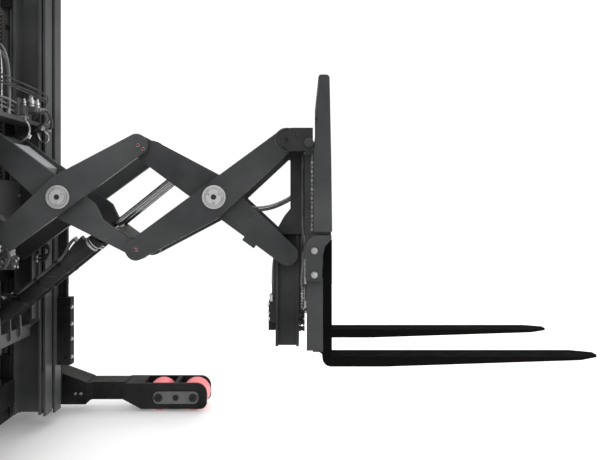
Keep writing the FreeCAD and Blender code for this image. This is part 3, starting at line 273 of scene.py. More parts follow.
finishes = {
    # frame paint's tops are lightened far more than other paints': partly dust, partly a painted highlight of the
    # light from above
    "frame_paint": paint("framePaint", grey(0.0035, 0.03), rough=0.55, dust=2.6, shine=0.05),
    "mast_paint": paint("mastPaint", grey(0.056, 0.03), rough=0.40, shine=0.4),
    "arm_paint": paint("armPaint", grey(0.040, 0.04), shine=0.15),
    "front_arm_paint": paint("frontArmPaint", grey(0.031, 0.04), shine=0.15),
    # a darker copy of the arm paint, for painted shade on the reach frame and its hose guards
    "arm_paint_painted_shade": paint("armPaintPaintedShade", grey(0.017, 0.04), rough=0.45, shine=0.10),
    "chrome_rod": chromePlate("chromeRod"),
    "zinc": bareSteel("zincPlate", grey(0.62), 0.36),
    "chain_steel": bareSteel("chainSteel", grey(0.12, -0.05), 0.42, stain=0.5),
    "fork_steel": forkSteel("forkSteel"),
    "load_wheel": rubber("loadWheelRed", (0.98, 0.24, 0.26, 1), 0.38, soft=0.15, dust=0.04),
    "drive_tyre": rubber("driveTyre", grey(0.028), 0.7),
    "body_paint": paint("bodyPaint", grey(0.36, -0.01), rough=0.36, wear=0.6),
    "guard_paint": paint("guardPaint", grey(0.014), shine=0.25),
    "battery_case": paint("batteryCase", grey(0.055, 0.02), rough=0.55),
    "drive_casting": castIron("driveCasting", grey(0.08)),
    "rubber_mat": ribbedRubber("rubberMat"),
    "pad_vinyl": vinyl("padVinyl"),
    "tiller_plastic": plastic("tillerPlastic", grey(0.024)),
    "bolt_zinc": bareSteel("boltZinc", grey(0.42), 0.32, stain=0.35),
    "bright_steel": bareSteel("brightSteel", grey(0.55), 0.24, stain=0.15),
    "bolt_black": bareSteel("boltBlack", grey(0.035), 0.42, stain=0.2),
    "hose": rubber("hoseRubber", grey(0.012), 0.48, dust=0.10),
    "weld": bareSteel("weldPaint", grey(0.05), 0.5, stain=0.2),
    # near black for painted shade inside sockets, holes, slots, grooves and louvre openings and round the bogie
    # bolts, and for the dark seams between sheets and lines along the battery case
    "painted_shade_and_seam_black": plastic("paintedShadeAndSeamBlack", grey(0.004), 0.7),
    "hose_grey": rubber("hoseGrey", grey(0.17, 0.03), 0.42, dust=0.05),
    "cast_block": castIron("castBlock", grey(0.085)),
    "cover_grey": paint("coverGrey", grey(0.34, 0.02), rough=0.45),
    "dull_zinc": bareSteel("dullZinc", grey(0.18), 0.5, stain=0.5),
    "nipple_red": plastic("nippleRed", (0.15, 0.004, 0.007, 1), 0.4, 0.05),
    "signal_red": plastic("signalRed", (0.42, 0.012, 0.016, 1), 0.35, 0.05),
    "dark_plastic": plastic("darkPlastic", grey(0.018), 0.45),
    "screen_glass": plastic("screenGlass", grey(0.006), 0.12, 0.0),
    "lamp_glass": plastic("lampGlass", grey(0.62), 0.15, 0.05),
}
# nodes whose finish differs from the one that their slot names
ownFinish = {"fork_carriage": "front_arm_paint", "load_backrest": "front_arm_paint",
             "front_inner_arms": "front_arm_paint", "front_outer_arms": "front_arm_paint",
             # the reach frame takes the arm paint's darker copy: painted shade
             "load_wheel_axles": "dull_zinc", "valve_block": "cast_block", "reach_frame": "arm_paint_painted_shade",
             "reach_cylinder_barrels": "frame_paint", "tilt_cylinder": "frame_paint"}
for part in frame["record"]["subparts"]:
    piece = nodes[part["node"]]
    piece.data.materials.clear()
    piece.data.materials.append(finishes[ownFinish.get(part["node"], part["material_slot"])])
print("finishes made")


softenLook = {"width": 0.0016, "segments": 2, "angle": 32, "flat": 0.4}


def roundEdges(piece, width):
    # rounds the sharp edges and keeps the flat faces flat
    bevel = piece.modifiers.new("bevel", "BEVEL")
    bevel.width = width
    bevel.segments = softenLook["segments"]
    bevel.limit_method = "ANGLE"
    bevel.angle_limit = math.radians(softenLook["angle"])
    bevel.harden_normals = True
    bevel.use_clamp_overlap = True
    bevel.miter_outer = "MITER_ARC"


def joinedFaces():
    # a modifier's node group: shared edges joined, round faces smooth and corners sharp
    group = bpy.data.node_groups.new("joinedFaces", "GeometryNodeTree")
    for way in ("INPUT", "OUTPUT"):
        group.interface.new_socket("Geometry", in_out=way, socket_type="NodeSocketGeometry")

    def step(kind, before, settings=None, values=None):
        node = group.nodes.new(kind)
        for key, value in (settings or {}).items():
            setattr(node, key, value)
        for key, value in (values or {}).items():
            if hasattr(value, "is_output"):
                group.links.new(value, node.inputs[key])
            else:
                node.inputs[key].default_value = value
        if before:
            group.links.new(before.outputs[0], node.inputs["Geometry"])
        return node

    angle = step("GeometryNodeInputMeshEdgeAngle", None).outputs["Unsigned Angle"]
    corner = step("FunctionNodeCompare", None, {"operation": "GREATER_THAN"},
                  {0: angle, 1: math.radians(softenLook["angle"])}).outputs["Result"]
    joined = step("GeometryNodeMergeByDistance", step("NodeGroupInput", None), None, {"Distance": 0.00002})
    last = step("GeometryNodeRemoveAttribute", joined, None, {"Name": "custom_normal"})
    for domain, values in (("FACE", {"Shade Smooth": True}), ("EDGE", {"Shade Smooth": True}),
                           ("EDGE", {"Selection": corner, "Shade Smooth": False})):
        last = step("GeometryNodeSetShadeSmooth", last, {"domain": domain}, values)
    end = group.nodes.new("NodeGroupOutput")
    group.links.new(last.outputs[0], end.inputs[0])
    return group


facesJoined = joinedFaces()
for piece in nodes.values():
    # the shared edges of the CAD faces are joined, lines across flat ones cleared, then the rest rounded
    piece.modifiers.new("joined", "NODES").node_group = facesJoined
    flat = piece.modifiers.new("flat", "DECIMATE")
    flat.decimate_type = "DISSOLVE"
    flat.angle_limit = math.radians(softenLook["flat"])
    roundEdges(piece, softenLook["width"])
print("edges softened")


mm = 0.001
upwards, forwards = (0, 0, 1), (1, 0, 0)
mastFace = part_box("outer_mast_rails")[1].x


def at(x, y, z):
    # millimetres ahead of the mast's front face, across and up
    return Vector((mastFace + x * mm, y * mm, z * mm))


def spot(place):
    # three numbers are millimetres as in at(), a vector is in the frame's metres already
    return place if isinstance(place, Vector) else at(*place)


def around(count, start=0.0):
    # the angles of so many equal steps round a circle; start is a share of one step
    return [2 * math.pi * (i + start) / count for i in range(count)]


def circle(across, rise, t, radius):
    # a step from the middle of a circle that two unit vectors span
    return (across * math.cos(t) + rise * math.sin(t)) * radius


def squareTo(direction):
    # the direction and two unit vectors square to it
    ahead = Vector(direction).normalized()
    near = Vector((0, 0, 1)) if abs(ahead.z) < 0.9 else Vector((1, 0, 0))
    across = ahead.cross(near).normalized()
    return ahead, across, ahead.cross(across).normalized()


def linked(thing):
    bpy.context.scene.collection.objects.link(thing)
    return thing


def curveMesh(points, smooth=True, resolution=8, radius=0.0, sides=4):
    # a line through its own control points, as a mesh: bare, or round with capped ends
    curve = bpy.data.curves.new("line", "CURVE")
    curve.dimensions = "3D"
    spline = curve.splines.new("NURBS" if smooth else "POLY")
    spline.points.add(len(points) - 1)
    for knot, point in zip(spline.points, points):
        knot.co = (*point, 1)
    if smooth:
        spline.order_u = 4 if len(points) > 3 else 3
        spline.use_endpoint_u = True
        spline.resolution_u = resolution
    curve.bevel_depth = radius
    curve.bevel_resolution = max(0, sides // 4 - 1)
    curve.use_fill_caps = radius > 0
    holder = linked(bpy.data.objects.new("line", curve))
    made = bpy.data.meshes.new_from_object(holder)
    bpy.data.objects.remove(holder)
    bpy.data.curves.remove(curve)
    return made


def alongLine(line, share):
    # the point and heading at a share of a line's length
    spans = [(b - a).length for a, b in zip(line, line[1:])]
    left = share * sum(spans)
    for a, b, span in zip(line, line[1:], spans):
        if left <= span or b is line[-1]:
            return a.lerp(b, min(1, left / max(span, 1e-9))), (b - a).normalized()
        left -= span
    return line[-1], (line[-1] - line[-2]).normalized()


# Small solids are gathered into one piece each. Their sizes are millimetres, and their places as in spot().
class Shape:
    waiting = []

    def __init__(self, name="", body=None, finish=None, bevel=0.0):
        # a name puts the piece on the list that addPieces() works through; the bevel is in millimetres
        self.mesh = bmesh.new()
        self.name, self.body, self.finish, self.bevel = name, body, finish, bevel
        if name:
            Shape.waiting.append(self)

    def loft(self, rings, closed=False):
        # rings of as many points, joined one to the next and capped, or closed on themselves
        made = [[self.mesh.verts.new(point) for point in points] for points in rings]
        for first, second in zip(made, made[1:] + made[:1] if closed else made[1:]):
            for i in range(len(first)):
                j = (i + 1) % len(first)
                self.mesh.faces.new((first[i], first[j], second[j], second[i]))
        if not closed:
            self.mesh.faces.new(made[0])
            self.mesh.faces.new(made[-1][::-1])

    def slab(self, axis, low, high, outline):
        # an outline pushed along an axis: pairs along the other two axes, or vectors whose y is replaced
        rings = []
        for along in sorted((low, high)):
            if isinstance(outline[0], Vector):
                rings.append([Vector((corner.x, along * mm, corner.z)) for corner in outline])
            else:
                slot = "xyz".index(axis)
                rings.append([at(*corner[:slot], along, *corner[slot:]) for corner in outline])
        self.loft(rings)

    def box(self, first, second):
        # between any two opposite corners
        (x0, y0, z0), (x1, y1, z1) = first, second
        self.slab("z", z0, z1, [(x0, y0), (x1, y0), (x1, y1), (x0, y1)])

    def turned(self, place, direction, profile, steps=28, closed=False):
        # a profile of (radius, along) turned about a line; a radius of 0 closes an end
        ahead, across, rise = squareTo(direction)
        rings = []
        for radius, along in profile:
            centre = spot(place) + ahead * (along * mm)
            reach = max(radius, 0.05) * mm
            rings.append([centre + circle(across, rise, t, reach) for t in around(steps)])
        self.loft(rings, closed)

    def hollow(self, place, direction, profile, steps=32):
        # as turned, but the profile is a closed loop round a bore
        self.turned(place, direction, profile, steps, closed=True)

    def hexBolt(self, place, direction, size):
        # a washer, a chamfered hexagon head and its low crown; size is the thread's diameter
        washer = [(1.15, -1 / size), (1.15, 0.17), (1.08, 0.2), (0, 0.2)]
        head = [(0.92, 0.16), (0.92, 0.71), (0.80, 0.84), (0, 0.84)]
        for profile, steps in ((washer, 20), (head, 6)):
            self.turned(place, direction, [(r * size, a * size) for r, a in profile], steps)

    def capBolt(self, place, direction, size):
        # a round head with a hexagon socket sunk in it
        profile = [(0.78, -1 / size), (0.78, 0.82), (0.68, 0.95), (0.46, 0.95), (0.44, 0.45), (0, 0.45)]
        self.turned(place, direction, [(r * size, a * size) for r, a in profile], 18)

    def pipe(self, points, radius, sides=12, smooth=True):
        # a round line along a smooth curve through its own control points
        made = curveMesh([spot(point) for point in points], smooth, 8, radius * mm, sides)
        self.mesh.from_mesh(made)
        bpy.data.meshes.remove(made)

    def coil(self, points, radius, wire, pitch, perTurn=10):
        # a helix of wire round a smooth line
        made = curveMesh([spot(point) for point in points])
        line = [vertex.co.copy() for vertex in made.vertices]
        bpy.data.meshes.remove(made)
        total = sum((b - a).length for a, b in zip(line, line[1:]))
        count = max(2, int(total / (pitch * mm))) * perTurn
        path = []
        for i in range(count + 1):
            centre, heading = alongLine(line, i / count)
            ahead, across, rise = squareTo(heading)
            t = 2 * math.pi * i / perTurn
            path.append(centre + circle(across, rise, t, radius * mm))
        self.pipe(path, wire, 6, smooth=False)

    def bead(self, start, end, size, pitch=4):
        # a weld bead: ripples laid along a straight seam
        start, end = spot(start), spot(end)
        ahead, across, rise = squareTo(end - start)
        count = max(3, int((end - start).length / (pitch * mm)) * 2)
        rings = []
        for i in range(count + 1):
            swell = size * mm * (0.86 + 0.14 * (i % 2)) * min(1, 0.45 + min(i, count - i) * 0.3)
            centre = start.lerp(end, i / count)
            rings.append([centre + circle(across, rise, t, swell) for t in around(8)])
        self.loft(rings)

    def made(self):
        # the gathered solids as one mesh
        bmesh.ops.recalc_face_normals(self.mesh, faces=self.mesh.faces)
        mesh = bpy.data.meshes.new(self.name)
        self.mesh.to_mesh(mesh)
        self.mesh.free()
        return mesh


# the record's slot for each finish that is not a slot itself
slotOf = {"cover_grey": "arm_paint", "front_arm_paint": "arm_paint", "arm_paint_painted_shade": "arm_paint",
          "bolt_zinc": "zinc", "bright_steel": "zinc", "dull_zinc": "zinc", "cast_block": "drive_casting",
          "bolt_black": "frame_paint", "weld": "frame_paint", "hose": "rubber_mat", "hose_grey": "rubber_mat",
          "nipple_red": "tiller_plastic", "painted_shade_and_seam_black": "tiller_plastic", "signal_red": "tiller_plastic",
          "dark_plastic": "tiller_plastic", "screen_glass": "tiller_plastic", "lamp_glass": "tiller_plastic"}


def addPieces(stage):
    # every waiting shape becomes a piece; one without a body is left unattached
    pieces = []
    for shape in Shape.waiting:
        mesh = shape.made()
        mesh.shade_smooth()
        mesh.set_sharp_from_angle(angle=math.radians(35))
        mesh.materials.append(finishes[shape.finish])
        piece = linked(bpy.data.objects.new(shape.name, mesh))
        if shape.bevel:
            roundEdges(piece, shape.bevel * mm)
        if shape.body:
            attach(piece, shape.body)
        slotOf.get(shape.finish, shape.finish)
        pieces.append(piece)
    Shape.waiting.clear()
    print(stage, "made")
    return pieces


def jointNamed(name):
    return [joint for joint in frame["joints"] if joint["name"] == name][0]


def pivotOf(name):
    return Vector(jointNamed(name)["pos_m"])


upperRear, rearPin = pivotOf("reach_retract"), pivotOf("rear_scissor")
upperJoint, lowerJoint = pivotOf("upper_scissor"), pivotOf("lower_scissor")
upperFront, tiltPin = pivotOf("reach_frame_level"), pivotOf("fork_tilt")
frontPin = Vector((2 * upperJoint.x - rearPin.x, 0, rearPin.z))


# Mast: leaf chain links, cylinder glands, lift pipes with clamps, and foot bolts.
chainLook = {"pitch": 19, "pin": 3.4, "high": 15}
chainPath = {"sheaveX": -190, "sheaveZ": 1995, "radius": 50, "frontLow": 1200, "rearLow": 1600, "apart": 75}


def chainPoints():
    # the chain's centre line, up the rear strand, over the sheave and down the front one
    centre, top, radius = chainPath["sheaveX"], chainPath["sheaveZ"], chainPath["radius"]
    pitch = chainLook["pitch"]
    rise = [(centre - radius, z) for z in range(chainPath["rearLow"], top, pitch)]
    steps = int(math.pi * radius / pitch)
    over = [(centre - radius * math.cos(math.pi * i / steps), top + radius * math.sin(math.pi * i / steps))
            for i in range(steps + 1)]
    fall = [(centre + radius, top - pitch * i) for i in range(1, (top - chainPath["frontLow"]) // pitch)]
    return rise + over + fall


def chainLeaf(near, far):
    # a link plate round two pins
    ahead = (far - near).normalized()
    side = Vector((-ahead.z, 0, ahead.x))
    outline = []
    for t in around(12, 0.5):
        reach = chainLook["high"] / 2 * mm * (1 if abs(math.sin(t)) < 0.9 else 0.86)
        outline.append((far if math.cos(t) > 0 else near) + circle(ahead, side, t, reach))
    return outline


leaves = Shape("chain_leaves", "free_lift_crosshead", "chain_steel")
rivets = Shape("chain_rivets", "free_lift_crosshead", "bolt_zinc")
pin = chainLook["pin"]
line = chainPoints()
for y in (-chainPath["apart"], chainPath["apart"]):
    for i, (x, z) in enumerate(line):
        rivets.turned((x, y - 14.5, z), (0, 1, 0), [(0, 0), (pin, 0.6), (pin, 28.4), (0, 29)], 10)
        if i + 1 < len(line):
            outline = chainLeaf(at(x, y, z), at(line[i + 1][0], y, line[i + 1][1]))
            for low, high in ((-12.6, -9.0), (9.0, 12.6)) if i % 2 else ((-10.8, -7.4), (7.4, 10.8)):
                leaves.slab("y", y + low, y + high, outline)

# Cylinder glands, their wiper seals, ports and the pipes that feed them.
cylinderLook = {"x": -225, "y": 255, "top": 2560, "pipe": 7, "clampEvery": 520}
glands = Shape("cylinder_glands", "root", "bolt_black")
bands = Shape("free_lift_gland", "inner_mast", "bolt_black")
seals = Shape("cylinder_seals", "root", "bolt_black")
feeds = Shape("lift_pipes", "root", "bolt_zinc")
clamps = Shape("lift_pipe_clamps", "root", "frame_paint", 1)
glandRing = [(32.5, 0), (36.2, 2), (36.2, 52), (34, 58), (23, 58), (23, 50), (32.5, 50)]
feedRoute = ((34, 165), (50, 165), (50, 200), (50, 320), (50, 2300), (50, 2400), (50, 2440), (34, 2440))
x, top = cylinderLook["x"], cylinderLook["top"]
for side in (-1, 1):
    y = side * cylinderLook["y"]
    glands.hollow((x, y, top - 60), upwards, glandRing, 36)
    seals.hollow((x, y, top - 2), upwards, [(22.2, 0), (27, 0), (25.5, 5), (22.2, 6)], 30)
    feeds.pipe([(x, y - side * inside, z) for inside, z in feedRoute], cylinderLook["pipe"])
    for z in range(420, 2300, cylinderLook["clampEvery"]):
        clamps.hollow((x, y, z), upwards, [(33, 0), (36.5, 0), (36.5, 24), (33, 24)], 30)
        clamps.box((x - 9, y - side * 60, z), (x + 9, y - side * 34, z + 24))
        seals.capBolt((x - 9, y - side * 40, z + 12), (-1, 0, 0), 8)
bandRing = [(36, 0), (39.5, 2), (39.5, 40), (37, 46), (26, 46), (26, 40), (36, 40)]
bands.hollow((-199, 0, 1515), upwards, bandRing, 36)

# Foot bolts on the inner face of each mast foot, and on its outer face.
footBolts = {"ahead": 48, "heights": (592, 505, 428, 336), "size": 8}
bolts = Shape("mast_foot_bolts", "root", "bolt_black")
studs = Shape("mast_foot_studs", "root", "bright_steel")
for side in (-1, 1):
    for z in footBolts["heights"]:
        bolts.hexBolt((footBolts["ahead"], side * 318, z), (0, -side, 0), footBolts["size"])
        bolts.hexBolt((footBolts["ahead"], side * 361, z), (0, side, 0), footBolts["size"])
        studs.hexBolt((69, side * 328, z), forwards, 9)
addPieces("mast details")


# Lift carriage: hoses over its top plate, the valve's solenoid and fittings, and a lower block with pipes.
hoseLook = {"loops": (5.2, 4.6), "riser": 3.4, "thin": 3.6, "bright": 4.2, "thick": (6.5, 5.5),
            "rings": (4.8, 5, 4.2)}
valveLook = {"base": 1573, "cores": ((-18, 102, 17, 58), (-4, 131, 12, 46), (-30, 62, 9, 34))}
loops = Shape("carriage_hose_loops", "lift_carriage", "hose_grey")
risers = Shape("carriage_riser", "lift_carriage", "bright_steel")
rings = Shape("carriage_braided_rings", "lift_carriage", "bright_steel")
bases = Shape("valve_bases", "lift_carriage", "cast_block", 1)
thinHoses = Shape("carriage_thin_hoses", "lift_carriage", "hose")
brightLines = Shape("carriage_pipes", "lift_carriage", "hose_grey")
cores = Shape("valve_solenoids", "lift_carriage", "bright_steel")
fittings = Shape("valve_fittings", "lift_carriage", "bright_steel")
loops.pipe([(-140, -30, 1520), (-140, -30, 1640), (-140, -30, 1790), (-100, -28, 1856), (-58, -24, 1790),
            (-50, -22, 1680), (-50, -20, 1600), (-54, -18, 1518)], hoseLook["loops"][0])
loops.pipe([(-142, -14, 1520), (-142, -14, 1640), (-142, -14, 1770), (-108, -14, 1832), (-72, -12, 1776),
            (-62, -10, 1680), (-62, -8, 1600), (-66, -6, 1518)], hoseLook["loops"][1])
riser = [(-82, -30, 1516), (-82, -30, 1600), (-80, -30, 1700), (-84, -30, 1790), (-98, -30, 1830)]
risers.pipe(riser, hoseLook["riser"], 10)
for x, z, droop in ((-30, 1668, 4), (-38, 1652, 10), (-46, 1640, 2)):
    thinHoses.pipe([(x - 40, -182, 1518), (x - 20, -184, 1600), (x, -178, z), (x + 6, -120, z + 6),
                    (x + 20, -30, z - droop), (x + 34, 60, z - 8), (x + 50, 140, z - 18 - droop),
                    (x + 58, 178, z - 30), (x + 40, 186, z - 80), (x, 182, 1560), (x - 24, 180, 1518)],
                   hoseLook["thin"], 10)
for x, z, droop in ((-50, 1586, 6), (-62, 1572, -4), (-74, 1590, 9), (-58, 1548, 3)):
    brightLines.pipe([(x, -184, 1518), (x, -186, z - 20), (x + 4, -170, z), (x + 8, -110, z - droop),
                      (x - 4, -40, z + droop), (x, 0, z - 4), (x, 32, z - 6)], hoseLook["bright"], 10)
bases.box((-41, 82, 1548), (8, 148, 1574))
bases.box((-41, 40, 1530), (-22, 82, 1574))
coreTop = ((1, 0.55), (0.86, 0.60), (0.62, 0.62), (0.58, 0.9), (0.42, 1), (0, 1))
coreRing = ((0.98, 0), (1.06, 0), (1.06, 4), (0.98, 4))
for x, y, wide, up in valveLook["cores"]:
    profile = [(wide * 0.96, -1), (wide, 2)] + [(wide * r, up * a) for r, a in coreTop]
    cores.turned((x, y, valveLook["base"]), upwards, profile)
    bases.hollow((x, y, valveLook["base"] + up * 0.2), upwards, [(wide * r, a) for r, a in coreRing], 28)
longFitting = [(11, -1), (11, 10), (9, 10), (9, 16), (11.5, 16), (11.5, 26), (7, 28), (7, 36), (0, 36)]
sideFitting = [(10, -1), (10, 9), (7.5, 9), (7.5, 14), (10.5, 14), (10.5, 23), (0, 23)]
plateFitting = [(8.5, 0), (8.5, 12), (6.5, 13), (7.5, 26), (6.5, 30), (0, 30)]
for place in ((-40, 48, 1516), (8, 92, 1558), (8, 118, 1562), (8, 140, 1556)):
    fittings.turned(place, forwards, longFitting, 6)
for place in ((-60, 150, 1560), (-88, 150, 1546), (-76, 150, 1586)):
    fittings.turned(place, (0, 1, 0), sideFitting, 6)
for x, y in ((-50, -184), (-62, -184), (-74, -184), (-140, -30), (-142, -14), (-54, -18), (-66, -6),
             (-82, -30)):
    fittings.turned((x, y, 1514), upwards, plateFitting, 6)
thinHoses.pipe([(36, 118, 1562), (52, 120, 1556), (60, 138, 1520), (52, 160, 1488), (30, 170, 1476),
                (0, 170, 1470), (-30, 170, 1472)], hoseLook["thick"][0])
thinHoses.pipe([(36, 92, 1558), (50, 96, 1548), (48, 110, 1510), (20, 128, 1494), (-20, 150, 1486),
                (-36, 158, 1470)], hoseLook["thick"][1])
hoop = [(4 + 25 * math.sin(t), 166 + 3 * t, 1442 + 25 * math.cos(t)) for t in around(14)[1:11]]
ringRoutes = ([(6, 166, 1480), *hoop, (-30, 178, 1462)],
              [(-34, 58, 1512), (-14, 60, 1500), (-2, 62, 1470), (-10, 64, 1436), (-34, 64, 1414),
               (-52, 64, 1404)],
              [(36, 140, 1556), (48, 142, 1550), (46, 156, 1520), (24, 170, 1510), (-4, 174, 1500),
               (-28, 176, 1490)])
for ringRoute, radius in zip(ringRoutes, hoseLook["rings"]):
    rings.pipe(ringRoute, radius)
for place, heading in (((2, 166, 1484), (0.4, 0, 1)), ((-12, 64, 1432), (-0.6, 0, -1)),
                       ((-30, 58, 1510), (1, 0, 0)), ((30, 170, 1476), (1, 0, 0.2))):
    fittings.turned(place, heading, [(8.5, -12), (10.5, -10), (10.5, 6), (8.5, 10), (0, 10)], 6)

blockLook = {"low": 824, "high": 884, "back": -118, "front": -38, "half": 27, "pipe": 4.5, "sideHose": 6.2}
block = Shape("lower_block", "lift_carriage", "cast_block", 1.5)
pipes = Shape("lower_block_pipes", "lift_carriage", "bright_steel")
nuts = Shape("lower_block_nuts", "lift_carriage", "bright_steel")
low, high, half = blockLook["low"], blockLook["high"], blockLook["half"]
back, front = blockLook["back"], blockLook["front"]
block.box((back + 6, -half, low), (front, half, high))
block.box((-124, -20, low + 8), (-112, 20, 1010))
pipeNut = [(9.5, -1), (9.5, 12), (7.2, 13), (7.2, 19), (9.2, 19), (9.2, 30), (0, 30)]
for y, x in ((-16, -50), (-2, -66), (13, -54)):
    nuts.turned((x, y, high), upwards, pipeNut, 6)
    pipes.pipe([(x, y, high + 10), (x, y, 925), (x + 1, y, 955), (x + 3, y - 4, 985), (x, y - 2, 1020),
                (-96, y, 1050), (-112, y, 1065)], blockLook["pipe"])
for y, z in ((-14, 838), (10, 834), (-4, 862), (16, 870)):
    nuts.turned((front, y, z), forwards, [(9, -1), (9, 6), (6, 8), (0, 8)], 6)
    nuts.capBolt(((front + back) / 2 + y, -half, z), (0, -1, 0), 8)
sideHoses = Shape("carriage_side_hoses", "lift_carriage", "hose")
sideNuts = Shape("carriage_side_nuts", "lift_carriage", "bright_steel")
plateBolts = Shape("carriage_bolts", "lift_carriage", "bolt_zinc")
sideNut = [(8.8, -1), (9.8, 1), (9.8, 11), (7.8, 13), (7.8, 17), (0, 17)]
for side in (-1, 1):
    for z in (1040, 1160, 1280, 1340):
        plateBolts.capBolt((-118, side * 172, z), forwards, 10)
    for x in (-60, -128):
        plateBolts.hexBolt((x, side * 172, 1515), upwards, 10)
    for z, low in ((938, 846), (922, 866)):
        route = ((-39, 168, z), (-20, 168, z), (2, 169, z - 2), (24, 171, z - 14), (36, 173, z - 34),
                 (24, 176, low + 6), (0, 177, low), (-39, 177, low))
        sideHoses.pipe([(x, side * y, height) for x, y, height in route], blockLook["sideHose"])
        for x, y, height in ((-38, 168, z), (-14, 168, z), (-38, 177, low)):
            sideNuts.turned((x, side * y, height), forwards, sideNut, 6)
addPieces("carriage details")


# Pantograph: pin caps, grease nipples, the cover between the rear arms, and weld beads.
armLook = {"capFace": 157, "coverNear": 34, "coverFar": 236, "coverHalf": 91, "coverThick": 8,
           "fromAxis": 38}
nippleProfile = [(5.2, -1), (5.2, 4), (3.8, 4.5), (3.8, 8), (4.8, 10), (3.5, 13), (0, 13)]


def pinCap(ring, socket, point, side):
    # a raised ring round the cap and a hexagon socket with three lock screws
    base = Vector((point.x, side * armLook["capFace"] * mm, point.z))
    out = (0, side, 0)
    ring.hollow(base, out, [(35, -1), (40, -1), (40, 2.2), (39, 3), (36, 3), (35, 2.2)], 48)
    for t in around(3, 0.25):
        ring.capBolt(base + Vector((math.cos(t), 0, math.sin(t))) * 0.025, out, 5)
    # the hexagon socket is near black: painted shade inside it
    socket.turned(base, out, [(11.8, -2), (11.8, 0.6), (10.5, 1.2), (9.5, -0.5), (0, -0.5)], 6)


for name, point in (("rear", rearPin), ("front", frontPin)):
    ring = Shape(name + "_cap_rings", name + "_inner_arms", "bright_steel")
    socket = Shape(name + "_cap_sockets", name + "_inner_arms", "painted_shade_and_seam_black")
    for side in (-1, 1):
        pinCap(ring, socket, point, side)

redNipples = {"rear_outer_arms": (upperJoint, ((10, -3), (31, -18))),
              "front_outer_arms": (lowerJoint, ((2, 0),))}
for body, (point, spots) in redNipples.items():
    heads = Shape(body + "_nipples", body, "nipple_red")
    bases = Shape(body + "_nipple_bases", body, "bolt_zinc")
    for side in (-1, 1):
        for x, z in spots:
            place = point + Vector((x, side * 145, z)) * mm
            heads.turned(place, (0, side, 0), nippleProfile, 12)
            bases.turned(place, (0, side, 0), [(8.5, -1), (8.5, 2), (0, 2)], 6)

# A bent cover plate between the rear inner arms, bright where it is worn, and weld beads beside it.
ahead = (rearPin - upperRear).normalized()
up = Vector((-ahead.z, 0, ahead.x))


def onArm(along, lift, y=0):
    return upperRear + ahead * (along * mm) + up * (lift * mm) + Vector((0, y * mm, 0))


near, far, lift, thick = (armLook[key] for key in ("coverNear", "coverFar", "fromAxis", "coverThick"))
cover = Shape("rear_arm_cover", "rear_inner_arms", "cover_grey", 1.5)
coverLine = ((near, -6), (near + 14, lift), (far - 20, lift), (far, -4),
             (far - 7, -4), (far - 20, lift - thick), (near + 14, lift - thick), (near + 7, -6))
cover.slab("y", -armLook["coverHalf"], armLook["coverHalf"], [onArm(*pair) for pair in coverLine])

# A thin worn plate over the cross plate near the lower joint.
lowerCover = {"start": (448, 1015), "end": (512, 968.5), "thick": 3, "half": 91}
start, end = Vector(lowerCover["start"]), Vector(lowerCover["end"])
slope = (end - start).normalized()
rise = Vector((-slope.y, slope.x)) * lowerCover["thick"]
skin = Shape("lower_arm_cover", "rear_inner_arms", "dull_zinc", 0.8)
skin.slab("y", -lowerCover["half"], lowerCover["half"],
          [tuple(p) for p in (start, end, end + rise, start + rise)])

beads = Shape("rear_arm_welds", "rear_inner_arms", "weld")
for side in (-1, 1):
    beads.bead(onArm(52, lift - 11, side * 90.5), onArm(222, lift - 11, side * 90.5), 3.8)
addPieces("pantograph details")


# Reach cylinders: gland nut, port blocks, and the hose that runs along each barrel.
reachLook = {"half": 38, "barrel": 33, "hose": 6.8, "clips": (200, 320, 430)}
along = Vector(jointNamed("reach_cylinder_stroke")["axis"]).normalized()
above = Vector((-along.z, 0, along.x))
foot = pivotOf("reach_cylinder_swing")
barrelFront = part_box("reach_cylinder_barrels")[1].x
end = (barrelFront - foot.x - abs(above.x) * reachLook["barrel"] * mm) / along.x / mm


def onBarrel(distance, lift, y=0):
    return foot + along * (distance * mm) + above * (lift * mm) + Vector((0, y * mm, 0))


nuts = Shape("reach_gland_nuts", "reach_cylinder_barrels", "bolt_zinc")
wipers = Shape("reach_rod_wipers", "reach_cylinder_barrels", "bolt_black")
blocks = Shape("reach_port_blocks", "reach_cylinder_barrels", "frame_paint", 1.5)
hoses = Shape("reach_barrel_hoses", "reach_cylinder_barrels", "hose")
clips = Shape("reach_hose_clips", "reach_cylinder_barrels", "bolt_black")
glandNut = [(32, 0), (34.5, 0), (35.4, 1), (35.4, 9), (34.5, 10), (32, 10)]
lockNut = [(32, 0), (33.8, 0), (34.4, 1), (34.4, 4), (33.8, 5), (32, 5)]
portNut = [(10.5, -1), (10.5, 9), (8.2, 10), (9.5, 14), (9.5, 22), (0, 22)]
route = [(end - 78, 58, 0), (end - 82, 66, 0), (end - 98, 66, 2), (end - 120, 54, 12), (end - 140, 40, 24),
         (end - 162, 30, 30), (end - 190, 27, 31), (end - 260, 27, 31), (end - 360, 27, 31), (150, 27, 31),
         (118, 38, 24), (92, 62, 8), (74, 74, 0), (70, 72, 0), (70, 60, 0)]
